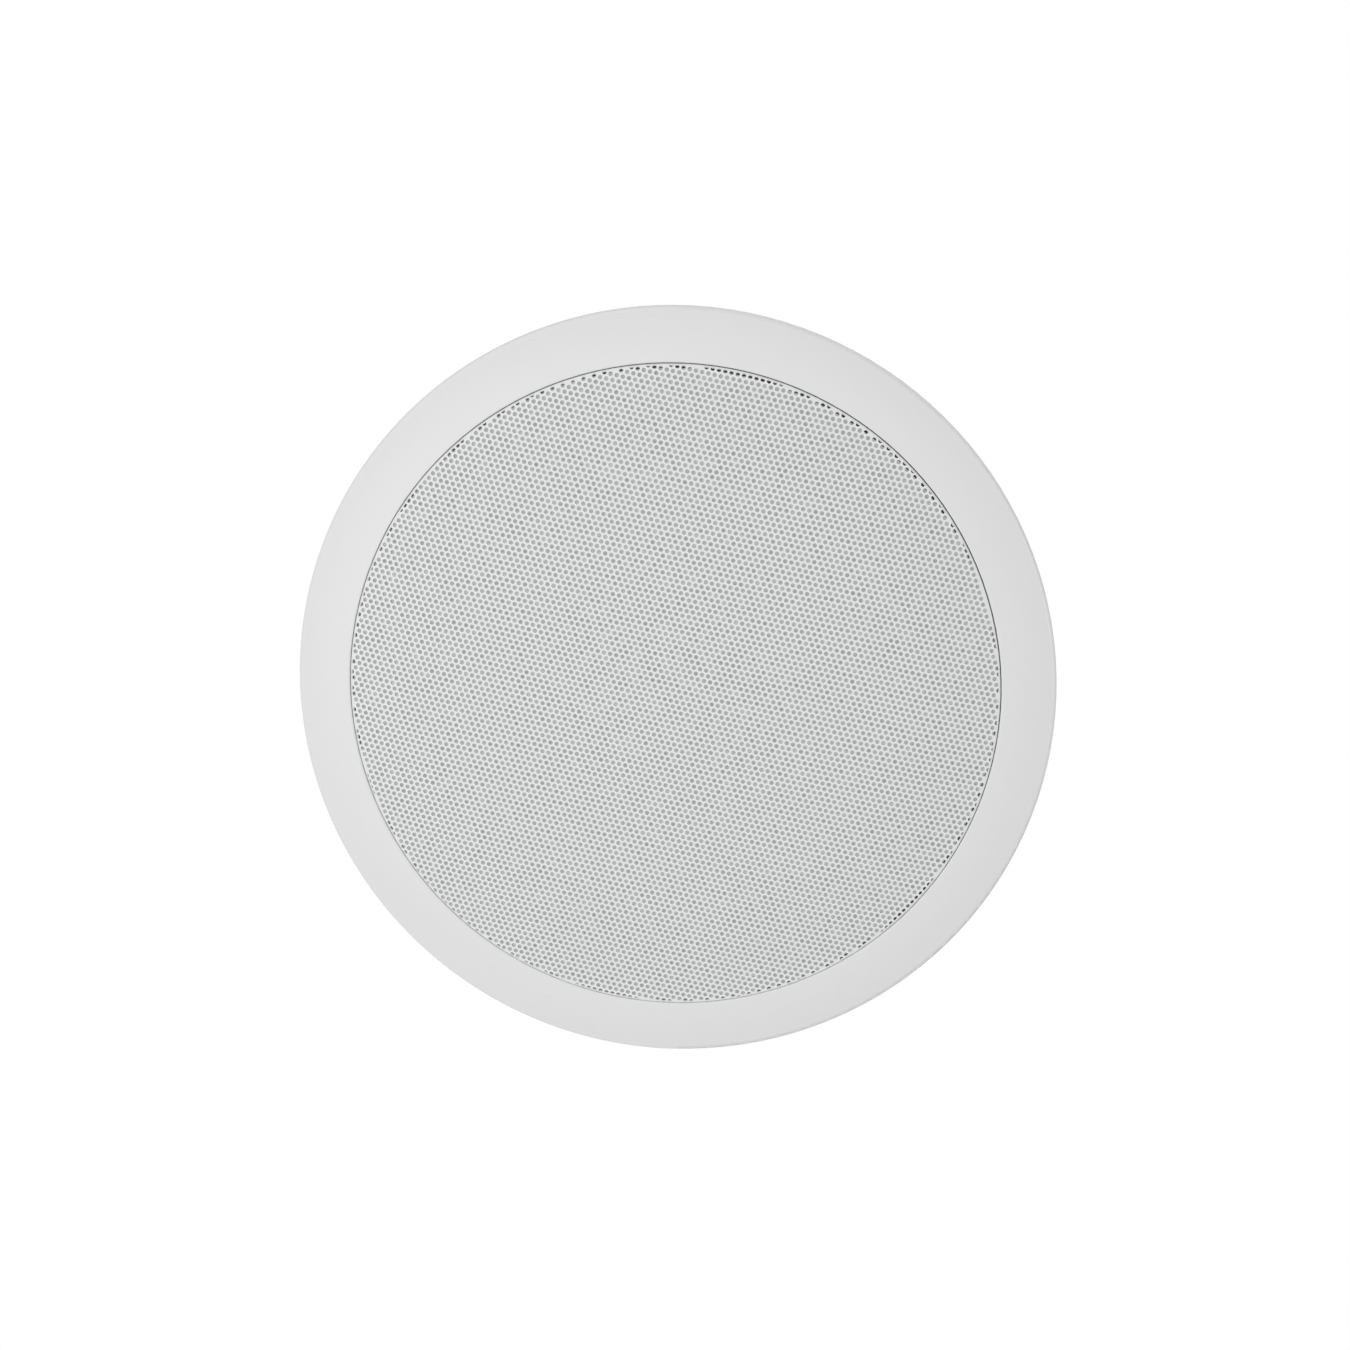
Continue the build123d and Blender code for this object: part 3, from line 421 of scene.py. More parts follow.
FINISHES: dict[str, Finish] = {
    "white_abs": Finish(
        "bezel satin white", (0.80, 0.80, 0.80), (0.775, 0.775, 0.775), 0.40, 0.52,
        scale=3200.0, bump=0.12, depth=0.00004,
    ),
    "white_coated_steel": Finish(
        "grille white powder coat", (0.833, 0.848, 0.843), (0.793, 0.808, 0.803), 0.46, 0.60,
        scale=2600.0, bump=0.15, depth=0.00003,
    ),
    "scrim_weave": Finish(
        "pale scrim", (0.615, 0.625, 0.62), (0.42, 0.43, 0.425), 0.85, 0.95,
        Pattern.FELT, 560.0, bump=0.3, depth=0.00006, sheen=0.1,
    ),
    "black_coated_steel": Finish(
        "basket black coat", (0.032, 0.032, 0.034), (0.02, 0.02, 0.022), 0.34, 0.5,
        scale=1700.0, bump=0.3, depth=0.00008,
    ),
    "black_foam": Finish(
        "gasket foam", (0.045, 0.045, 0.046), (0.016, 0.016, 0.017), 0.85, 0.98,
        scale=2600.0, bump=0.8, depth=0.0003,
    ),
    "black_rubber": Finish(
        "surround rubber", (0.03, 0.03, 0.031), (0.017, 0.017, 0.018), 0.42, 0.62,
        scale=1800.0, bump=0.2, depth=0.00006,
    ),
    "grey_pulp": Finish(
        "pressed pulp", (0.085, 0.085, 0.09), (0.035, 0.035, 0.038), 0.75, 0.92,
        scale=900.0, bump=0.5, depth=0.0002,
    ),
    "amber_film": Finish(
        "amber former film", (0.48, 0.22, 0.05), (0.36, 0.15, 0.03), 0.2, 0.35, scale=900.0, bump=0.05,
    ),
    "copper_wire": Finish(
        "enamelled copper", (0.70, 0.29, 0.12), (0.36, 0.12, 0.05), 0.2, 0.38,
        Pattern.WOUND, 7000.0, bump=0.7, depth=0.0003, metallic=0.9,
    ),
    "ochre_cloth": Finish(
        "resin cloth", (0.58, 0.40, 0.14), (0.38, 0.22, 0.06), 0.7, 0.9,
        Pattern.WEAVE, 5200.0, bump=0.6, depth=0.0002,
    ),
    "zinc_steel": Finish(
        "zinc plated steel", (0.66, 0.67, 0.68), (0.46, 0.47, 0.49), 0.24, 0.42,
        Pattern.TURNED, 1500.0, bump=0.12, depth=0.00005, metallic=1.0,
    ),
    "ferrite": Finish(
        "ground ferrite", (0.075, 0.075, 0.08), (0.04, 0.04, 0.042), 0.5, 0.75,
        Pattern.TURNED, 900.0, bump=0.25, depth=0.0001,
    ),
    "nickel_magnet": Finish(
        "nickel plate", (0.66, 0.65, 0.62), (0.52, 0.51, 0.48), 0.15, 0.3, bump=0.05, metallic=1.0,
    ),
    "brown_fibre": Finish(
        "brown fibre", (0.26, 0.12, 0.05), (0.15, 0.065, 0.025), 0.5, 0.7, scale=1500.0, bump=0.3,
    ),
    "tinned_metal": Finish(
        "tinned brass", (0.70, 0.69, 0.66), (0.5, 0.49, 0.46), 0.25, 0.45, bump=0.1, metallic=1.0,
    ),
    "silver_braid": Finish(
        "silver braid", (0.72, 0.69, 0.64), (0.34, 0.32, 0.29), 0.3, 0.5,
        Pattern.WEAVE, 9000.0, bump=0.8, depth=0.0002, metallic=0.9,
    ),
    "black_screw_steel": Finish(
        "black oxide steel", (0.05, 0.05, 0.052), (0.025, 0.025, 0.026), 0.32, 0.5, metallic=0.6,
    ),
    "plated_screw_steel": Finish(
        "yellow zinc steel", (0.70, 0.62, 0.40), (0.52, 0.46, 0.32), 0.24, 0.42,
        Pattern.TURNED, 1500.0, bump=0.1, metallic=1.0,
    ),
    "black_plastic": Finish(
        "black moulded plastic", (0.028, 0.028, 0.03), (0.018, 0.018, 0.02), 0.42, 0.6,
        scale=2600.0, bump=0.25, depth=0.00006,
    ),
    "silk": Finish(
        "coated silk", (0.07, 0.07, 0.078), (0.03, 0.03, 0.034), 0.45, 0.65,
        Pattern.WEAVE, 9000.0, bump=0.3, sheen=0.2,
    ),
    "board_laminate": Finish(
        "green board", (0.025, 0.17, 0.07), (0.012, 0.1, 0.04), 0.25, 0.42, scale=700.0, bump=0.06,
    ),
    "nylon_bobbin": Finish("black nylon", (0.05, 0.05, 0.053), (0.03, 0.03, 0.033), 0.4, 0.55),
    "yellow_epoxy": Finish(
        "ochre epoxy", (0.62, 0.35, 0.04), (0.48, 0.25, 0.025), 0.22, 0.38, scale=1100.0, bump=0.08,
    ),
    "dark_sleeve": Finish(
        "blue shrink sleeve", (0.02, 0.045, 0.13), (0.012, 0.026, 0.08), 0.2, 0.34, scale=800.0, bump=0.06,
    ),
    "white_cement": Finish(
        "white cement", (0.68, 0.67, 0.63), (0.52, 0.51, 0.47), 0.8, 0.95,
        scale=1600.0, bump=0.6, depth=0.0002,
    ),
    "red_plastic": Finish("red moulded plastic", (0.50, 0.02, 0.015), (0.38, 0.012, 0.01), 0.35, 0.5),
    "lead_insulation": Finish("lead insulation", (0.04, 0.04, 0.042), (0.022, 0.022, 0.024), 0.4, 0.55),
    "natural_nylon": Finish(
        "natural nylon", (0.66, 0.65, 0.60), (0.56, 0.55, 0.5), 0.38, 0.52, scale=1500.0, bump=0.15,
    ),
}
EXTRA_FINISHES: dict[str, Finish] = {
    "wound_copper": Finish(
        "enamelled copper turns", (0.62, 0.25, 0.09), (0.48, 0.17, 0.06), 0.16, 0.3,
        scale=700.0, bump=0.05, metallic=0.85, coat=0.4,
    ),
    "solder": Finish(
        "bright solder", (0.72, 0.72, 0.71), (0.56, 0.56, 0.55), 0.16, 0.36,
        scale=900.0, bump=0.15, metallic=1.0,
    ),
    "board_trace": Finish(
        "masked copper run", (0.05, 0.27, 0.11), (0.035, 0.2, 0.08), 0.22, 0.36, scale=700.0, bump=0.06,
    ),
    "red_lead": Finish("red insulation", (0.36, 0.02, 0.016), (0.26, 0.012, 0.01), 0.4, 0.55),
}


class Workbench:
    """Small helpers round Blender's mesh operators."""

    @staticmethod
    def deselect() -> None:
        """Leaves nothing selected and no active edit."""
        if bpy.context.object is not None and bpy.context.object.mode != "OBJECT":
            bpy.ops.object.mode_set(mode="OBJECT")
        bpy.ops.object.select_all(action="DESELECT")

    @classmethod
    def take(cls, piece: Piece) -> None:
        """Makes one piece the only selected and active one."""
        cls.deselect()
        piece.select_set(True)
        bpy.context.view_layer.objects.active = piece

    @classmethod
    @contextmanager
    def editing(cls, piece: Piece) -> Iterator[None]:
        """Opens a piece in edit mode with all of it selected, and closes it afterwards.

        Args:
            piece: The piece to edit.

        Yields:
            Nothing, while the piece is open.
        """
        cls.take(piece)
        bpy.ops.object.mode_set(mode="EDIT")
        bpy.ops.mesh.select_all(action="SELECT")
        yield
        bpy.ops.object.mode_set(mode="OBJECT")

    @classmethod
    def put(cls, name: str, data: bpy.types.ID) -> Piece:
        """Puts a mesh, curve, lamp or camera into the scene.

        Args:
            name: The new object's name.
            data: What it holds.

        Returns:
            The new object, which is the only one selected.
        """
        piece = bpy.data.objects.new(name, data)
        bpy.context.scene.collection.objects.link(piece)
        cls.take(piece)
        return piece

    @classmethod
    def new(cls, name: str, points: Sequence[Spot], edges: Sequence = (), faces: Sequence = ()) -> Piece:
        """Makes a mesh piece from points, edges and faces, and selects it.

        Args:
            name: The piece's name.
            points: Its corners in metres.
            edges: Pairs of corners.
            faces: Runs of corners.

        Returns:
            The new piece.
        """
        mesh = bpy.data.meshes.new(name)
        mesh.from_pydata([tuple(p) for p in points], list(edges), list(faces))
        mesh.update()
        return cls.put(name, mesh)

    @classmethod
    def block(cls, size: Spot, place: Spot = (0.0, 0.0, 0.0)) -> Piece:
        """Adds a cube with its size applied.

        Args:
            size: Its sides along X, Y and Z.
            place: Its centre.

        Returns:
            The new cube.
        """
        cls.deselect()
        bpy.ops.mesh.primitive_cube_add(size=1.0, location=place)
        piece = bpy.context.object
        piece.scale = size
        bpy.ops.object.transform_apply(location=False, rotation=False, scale=True)
        return piece

    @classmethod
    def turned(cls, name: str, profile: Sequence[Point], sides: int, closed: bool = False) -> Piece:
        """Spins a profile once round Z.

        Args:
            name: The piece's name.
            profile: Its (r, z) points.
            sides: How many sides the full turn has.
            closed: Whether the profile's last point joins its first.

        Returns:
            The turned shell.
        """
        count = len(profile)
        steps = count if closed else count - 1
        edges = [(k, (k + 1) % count) for k in range(steps)]
        piece = cls.new(name, [(r, 0.0, z) for r, z in profile], edges)
        with cls.editing(piece):
            bpy.ops.mesh.spin(steps=sides, angle=2 * math.pi, center=(0, 0, 0), axis=(0, 0, 1))
        cls.mend(piece)
        return piece

    @classmethod
    def mend(cls, piece: Piece, close: bool = False) -> None:
        """Merges a shell's doubled corners and turns its faces outwards.

        Args:
            piece: The shell.
            close: Whether its open ends are filled.
        """
        with cls.editing(piece):
            bpy.ops.mesh.remove_doubles(threshold=WELD)
            if close:
                bpy.ops.mesh.fill_holes(sides=0)
                bpy.ops.mesh.select_all(action="SELECT")
            bpy.ops.mesh.normals_make_consistent(inside=False)

    @classmethod
    def apply(cls, piece: Piece, kind: str, **settings: object) -> None:
        """Adds a modifier with its settings and applies it.

        Args:
            piece: The piece it acts on.
            kind: The modifier's Blender type.
            settings: The modifier's attributes.
        """
        cls.take(piece)
        modifier = piece.modifiers.new(kind.lower(), kind)
        for name, value in settings.items():
            setattr(modifier, name, value)
        bpy.ops.object.modifier_apply(modifier=modifier.name)

    @classmethod
    def thicken_up(cls, piece: Piece, thickness: float) -> None:
        """Turns a sheet's faces down to the room and gives it its thickness behind them.

        Args:
            piece: The sheet.
            thickness: Its thickness.
        """
        if piece.data.polygons[0].normal.z > 0:
            piece.data.flip_normals()
        cls.apply(piece, "SOLIDIFY", thickness=thickness, offset=-1.0)

    @classmethod
    def wind(cls, piece: Piece, lead: float, turns: int, sides: int) -> None:
        """Winds a profile up round Z.

        Args:
            piece: The profile, which becomes the winding.
            lead: How far one turn rises.
            turns: How many turns there are.
            sides: How many sides one turn has.
        """
        cls.apply(piece, "SCREW", axis="Z", angle=2 * math.pi, screw_offset=lead, iterations=turns,
                  steps=sides, render_steps=sides)

    @classmethod
    def smooth(cls, piece: Piece, angle: float = CRISP_ANGLE) -> None:
        """Shades a piece smooth except at edges sharper than the angle."""
        cls.take(piece)
        bpy.ops.object.shade_smooth_by_angle(angle=math.radians(angle))

    @classmethod
    def copy(cls, name: str, node: str) -> Piece:
        """Starts a new piece from a CAD node's own mesh, with its loose triangles merged.

        Args:
            name: The piece's name.
            node: The CAD node.

        Returns:
            The new piece.
        """
        piece = cls.put(name, bpy.data.objects[node].data.copy())
        with cls.editing(piece):
            bpy.ops.mesh.remove_doubles(threshold=CAD_WELD)
        return piece

    @classmethod
    def duplicate(cls, pattern: Piece, name: str, by: Vector) -> Piece:
        """Copies a piece with a mesh of its own, moved so that its object stays at the origin.

        Args:
            pattern: The piece to copy.
            name: The copy's name.
            by: How far the copy's mesh is moved.

        Returns:
            The copy.
        """
        cls.take(pattern)
        bpy.ops.object.duplicate(linked=False)
        piece = bpy.context.object
        piece.name = name
        cls.shift(piece, by)
        return piece

    @classmethod
    def shift(cls, piece: Piece, by: Vector) -> None:
        """Moves a piece's mesh, so that its object stays at the origin."""
        with cls.editing(piece):
            bpy.ops.transform.translate(value=tuple(by))

    @classmethod
    def join(cls, name: str, parts: Sequence[Piece]) -> Piece:
        """Joins several pieces into the first one.

        Args:
            name: The joined piece's name.
            parts: The pieces.

        Returns:
            The joined piece.
        """
        cls.deselect()
        for part in parts:
            part.select_set(True)
        bpy.context.view_layer.objects.active = parts[0]
        bpy.ops.object.join()
        parts[0].name = name
        return parts[0]

    @classmethod
    def wire(cls, name: str, points: Sequence[Spot], radius: float) -> Piece:
        """Makes a round wire along a smooth curve through its end points.

        Args:
            name: The piece's name.
            points: The curve's control points in metres.
            radius: The wire's radius.

        Returns:
            The wire as a mesh piece.
        """
        cubic = 4
        curve = bpy.data.curves.new(name, "CURVE")
        curve.dimensions = "3D"
        curve.bevel_depth = radius
        curve.bevel_resolution = 3
        curve.use_fill_caps = True
        spline = curve.splines.new("NURBS")
        spline.points.add(len(points) - 1)
        for point, place in zip(spline.points, points):
            point.co = (*place, 1.0)
        spline.use_endpoint_u = True
        spline.order_u = min(cubic, len(points))
        cls.put(name, curve)
        bpy.ops.object.convert(target="MESH")
        return bpy.context.object

    @staticmethod
    def dress(piece: Piece, material: bpy.types.Material) -> None:
        """Gives a piece one material and no other."""
        piece.data.materials.clear()
        piece.data.materials.append(material)

    @classmethod
    def fit(
        cls, piece: Piece, material: bpy.types.Material, slot: str, nodes: Sequence[str] = (),
        body: str = Body.HOUSING.value,
    ) -> Piece:
        """Dresses a rigid piece and hands it to the frame.

        Args:
            piece: The finished piece.
            material: Its material.
            slot: Not used.
            nodes: The CAD nodes that it stands for.
            body: The body that it rides on.

        Returns:
            The same piece.
        """
        cls.dress(piece, material)
        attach(piece, body)
        if nodes:
            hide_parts(*nodes)
        return piece


def ends(node: str) -> tuple[Vector, Vector]:
    """The low and the high corner of a CAD node's box."""
    low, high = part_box(node)
    return Vector(low), Vector(high)


def bow_points(start: Point, end: Point, rise: float, count: int) -> list[Point]:
    """Points on the arc between two points at one level, without its start.

    Args:
        start: First (r, z) point.
        end: Last (r, z) point.
        rise: Height of the arc's middle over its ends, negative for downward.
        count: How many steps to take.

    Returns:
        The points after the start.
    """
    half = (end[0] - start[0]) / 2
    ball = (half**2 + rise**2) / (2 * abs(rise))
    sign = math.copysign(1.0, rise)
    drop = abs(rise) - ball
    spread = math.pi / 2 + math.asin(max(-1.0, min(1.0, drop / ball)))
    middle = start[0] + half
    points = []
    for step in range(1, count + 1):
        angle = spread * (2 * step / count - 1)
        points.append((middle + ball * math.sin(angle), start[1] + sign * (drop + ball * math.cos(angle))))
    return points


@dataclass(frozen=True)
class Arc:
    """One arc of the dome's section, in (r, z), with its end as an angle from straight down."""

    centre: Point
    radius: float
    end: float

    def at(self, angle: float, inset: float = 0.0) -> Point:
        """The point at an angle, set back behind the front face by inset."""
        reach = self.radius - inset
        return self.centre[0] + reach * math.sin(angle), self.centre[1] - reach * math.cos(angle)


@dataclass
class Grille:
    """Domed steel sheet, punched at its true pitch, with a folded skirt, and the cloth behind it."""

    radius: float
    apex: float
    seat: float
    # The hole field, as pressing left it: turned, skewed, spread to one side and drawn in at the shoulder.
    pitch: float = 1.87853 * MM
    hole: float = 0.67 * MM
    sides: int = 8
    turn: float = math.radians(11.9935)
    skew: float = 0.00361
    spread: Point = (-0.0236, -0.0143)
    shift: Point = (1.3812 * MM, -4.4964 * MM)
    draw_start: float = 60.0 * MM
    draw_rate: float = 0.0903
    hole_limit: float = 0.27 * MM
    hole_overlap: float = 0.15
    spare_rows: int = 3
    # The dome's section and the fold at its rim.
    crown_radius: float = 1550.0 * MM
    shoulder_radius: float = 220.0 * MM
    shoulder_width: float = 29.4 * MM
    coat: float = 0.128 * MM
    bend: float = 0.678 * MM
    sheet: float = 0.5 * MM
    fold_share: float = 0.75
    fold_steps: int = 6
    rim_sides: int = 720
    skirt_sides: int = 288
    # How the pressed sheet sits in the recess.
    off_centre: Point = (-0.055 * MM, 0.1065 * MM)
    oval: float = 0.036 * MM
    oval_turn: float = math.radians(67.5)
    # The cloth, glued a little off centre, and how far its hand-cut edge strays, in mm round the turn.
    cloth_margin: float = 0.415 * MM
    cloth_shift: Point = (-0.13 * MM, 0.21 * MM)
    cloth_cut: tuple[float, ...] = (0.16, -0.08, -0.13, -0.01, 0.03, 0.06, 0.03, -0.10,
                                    -0.10, 0.10, -0.03, 0.10, -0.05, -0.12, -0.16, 0.15)
    cloth_gap: float = 0.03 * MM
    cloth_sheet: float = 0.3 * MM
    cloth_sides: int = 160
    cloth_rings: int = 15

    @classmethod
    def from_frame(cls) -> "Grille":
        """Takes the radius and levels from the CAD grille, and adds the coat to the bare steel's radius."""
        low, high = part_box("grille")
        return cls(radius=high[0] + cls.coat, apex=low[2], seat=high[2])

    @property
    def flat(self) -> float:
        """Radius at which the dome ends and the fold starts."""
        return self.radius - self.bend

    @property
    def sheet_reach(self) -> float:
        """Radius at which the punched sheet hands over to the skirt, part of the way round the fold."""
        return self.flat + self.fold_share * self.bend

    @property
    def cloth_radius(self) -> float:
        """Radius of the flat cloth."""
        return self.flat - self.cloth_margin

    def arcs(self) -> tuple[Arc, Arc, Arc]:
        """Works out the dome's section from the apex to the skirt.

        Returns:
            The crown, the shoulder and the fold, each tangent to the next.
        """
        crown = Arc((0.0, self.apex + self.crown_radius), self.crown_radius,
                    math.asin((self.flat - self.shoulder_width) / self.crown_radius))
        step = self.crown_radius - self.shoulder_radius
        centre = (step * math.sin(crown.end), crown.centre[1] - step * math.cos(crown.end))
        lean = math.asin((self.flat - centre[0]) / self.shoulder_radius)
        shoulder = Arc(centre, self.shoulder_radius, lean)
        fold = self.bend / (1 - math.sin(lean))
        level = shoulder.at(lean)[1] + fold * math.cos(lean)
        return crown, shoulder, Arc((self.radius - fold, level), fold, math.pi / 2)

    def level(self, reach: np.ndarray) -> np.ndarray:
        """Height of the front face, over crown, shoulder and fold.

        Args:
            reach: Distances from the axis.

        Returns:
            The height at each of them.
        """
        height = np.full(np.shape(reach), self.seat)
        for arc in reversed(self.arcs()):
            past = np.clip((reach - arc.centre[0]) / arc.radius, -1.0, 1.0)
            face = arc.centre[1] - arc.radius * np.sqrt(1 - past**2)
            height = np.where(reach <= arc.at(arc.end)[0], face, height)
        return height

    def seated(self, plan: np.ndarray) -> np.ndarray:
        """Moves points in plan as the pressed sheet sits in the recess: a little oval and off centre.

        Args:
            plan: Points, or one point, as x and y.

        Returns:
            The moved points.
        """
        oval = self.oval / self.radius
        along, across = oval * math.cos(2 * self.oval_turn), oval * math.sin(2 * self.oval_turn)
        stretch = np.array([[1 + along, across], [across, 1 - along]])
        return plan @ stretch + np.array(self.off_centre)

    def holes(self) -> list[list[Point]]:
        """Outlines of all the punched holes.

        Returns:
            One convex outline a hole, cut short where the fold ends it.
        """
        limit = self.flat + self.hole_limit
        rows = int(limit / (self.pitch * math.sqrt(3) / 2)) + self.spare_rows
        outlines = []
        for row in range(-rows, rows + 1):
            for column in range(-2 * rows, 2 * rows + 1):
                x, y = self._spot((column + row / 2) * self.pitch, row * self.pitch * math.sqrt(3) / 2)
                if math.hypot(x, y) <= limit + self.hole_overlap * self.hole:
                    outlines.append(self._outline(x, y, limit))
        return outlines

    def _spot(self, u: float, v: float) -> Point:
        """Where a hole of the even field ends up on the pressed sheet.

        Args:
            u: Its place along the field's rows.
            v: Its place across them.

        Returns:
            The hole's centre in plan.
        """
        cos, sin = math.cos(self.turn), math.sin(self.turn)
        across = u * cos - v * sin
        along = u * sin + v * cos
        x = self.shift[0] + across + self.skew * along
        y = self.shift[1] + along + self.skew * across
        far = math.hypot(x, y)
        drawn = 1.0 - self.draw_rate * max(0.0, far - self.draw_start) ** 2 / max(far, self.pitch)
        drawn += self.spread[0] * x + self.spread[1] * y
        return x * drawn, y * drawn

    def _outline(self, x: float, y: float, limit: float) -> list[Point]:
        """One hole's outline, pulled in where it would cross the limit.

        Args:
            x: The hole's centre along X.
            y: Its centre along Y.
            limit: The largest distance from the axis.

        Returns:
            The outline's corners.
        """
        outline = []
        for side in range(self.sides):
            angle = 2 * math.pi * (side + 0.5) / self.sides
            px = x + self.hole * math.cos(angle)
            py = y + self.hole * math.sin(angle)
            pull = min(1.0, limit / math.hypot(px, py))
            outline.append((px * pull, py * pull))
        return outline

    def _plan(self) -> tuple[np.ndarray, np.ndarray]:
        """Triangulates the flat sheet round its holes.

        Returns:
            The corners in plan, and the three corners of each triangle.
        """
        whole_hull = 0
        turns = [2 * math.pi * k / self.rim_sides for k in range(self.rim_sides)]
        holes = self.holes()
        rim = [(self.sheet_reach * math.cos(turn), self.sheet_reach * math.sin(turn)) for turn in turns]
        points: list[Vector] = []
        edges: list[tuple[int, int]] = []
        owner: list[int] = []
        for number, loop in enumerate([*holes, rim]):
            first = len(points)
            points.extend(Vector(p) for p in loop)
            edges.extend((first + k, first + (k + 1) % len(loop)) for k in range(len(loop)))
            owner.extend([number] * len(loop))
        spots, _, faces, origin, _, _ = delaunay_2d_cdt(points, edges, [], whole_hull, PLAN_WELD)
        rim_number = len(holes)
        holder = np.array([owner[source[0]] if source else rim_number for source in origin])
        triangles = np.array(faces)
        held = holder[triangles]
        inside = (held[:, 0] < rim_number) & (held[:, 0] == held[:, 1]) & (held[:, 1] == held[:, 2])
        return np.array([(p.x, p.y) for p in spots]), triangles[~inside]

    def build_sheet(self) -> list[Piece]:
        """Domes the punched sheet and gives it its thickness.

        Returns:
            The sheet in two halves.
        """
        place, triangles = self._plan()
        middle = place[triangles].mean(1)[:, 0]
        halves = []
        for name, keep in (("grille_sheet_left", middle < 0), ("grille_sheet_right", middle >= 0)):
            used, index = np.unique(triangles[keep], return_inverse=True)
            plan = place[used]
            heights = self.level(np.hypot(plan[:, 0], plan[:, 1]))
            points = np.column_stack([self.seated(plan), heights])
            half = Workbench.new(name, points.tolist(), faces=index.reshape(-1, 3).tolist())
            Workbench.thicken_up(half, self.sheet)
            halves.append(half)
        return halves

    def build_skirt(self) -> Piece:
        """Spins the rest of the fold and the skirt round the sheet.

        Returns:
            The skirt.
        """
        fold = self.arcs()[2]
        start = math.asin((self.sheet_reach - fold.centre[0]) / fold.radius)
        angles = [start + (fold.end - start) * k / self.fold_steps for k in range(self.fold_steps + 1)]
        outer = [fold.at(angle) for angle in angles] + [(self.radius, self.seat)]
        inner = [fold.at(angle, self.sheet) for angle in angles] + [(self.radius - self.sheet, self.seat)]
        skirt = Workbench.turned("grille_skirt", outer + inner[::-1], self.skirt_sides, closed=True)
        for corner in skirt.data.vertices:
            corner.co.xy = self.seated(np.array(corner.co.xy))
        Workbench.smooth(skirt)
        return skirt

    def stray(self, angle: float) -> float:
        """How far the cloth's hand-cut edge strays from a circle.

        Args:
            angle: Where round the turn.

        Returns:
            The distance outwards.
        """
        count = len(self.cloth_cut)
        place = angle / (2 * math.pi) * count % count
        first = int(place)
        share = (1 - math.cos(math.pi * (place - first))) / 2
        return (self.cloth_cut[first] * (1 - share) + self.cloth_cut[(first + 1) % count] * share) * MM

    def build_cloth(self) -> Piece:
        """Lays the cloth disc against the back of the dome, a little off centre as it was glued.

        Returns:
            The cloth.
        """
        radius = self.cloth_radius
        Workbench.deselect()
        bpy.ops.mesh.primitive_circle_add(
            vertices=self.cloth_sides, radius=radius, fill_type="NGON", location=(0, 0, 0)
        )
        cloth = bpy.context.object
        cloth.name = "scrim_sheet"
        with Workbench.editing(cloth):
            for _ in range(self.cloth_rings - 1):
                bpy.ops.mesh.inset(thickness=radius / self.cloth_rings)
        for corner in cloth.data.vertices:
            stretch = 1.0 + self.stray(math.atan2(corner.co.y, corner.co.x)) / radius
            x = corner.co.x * stretch + self.cloth_shift[0]
            y = corner.co.y * stretch + self.cloth_shift[1]
            level = float(self.level(np.array(math.hypot(x, y))))
            corner.co = (x, y, level + self.sheet + self.cloth_gap)
        Workbench.thicken_up(cloth, self.cloth_sheet)
        Workbench.smooth(cloth)
        return cloth

    def build(self, materials: Materials) -> list[Piece]:
        """Builds and dresses the sheet, skirt and cloth.

        Args:
            materials: Materials by record slot.

        Returns:
            The new pieces.
        """
        coat = "white_coated_steel"
        parts = self.build_sheet() + [self.build_skirt()]
        for part in parts:
            Workbench.fit(part, materials[coat], coat, ["grille"])
        cloth = Workbench.fit(self.build_cloth(), materials["scrim_weave"], "scrim_weave", ["scrim_cloth"])
        return parts + [cloth]


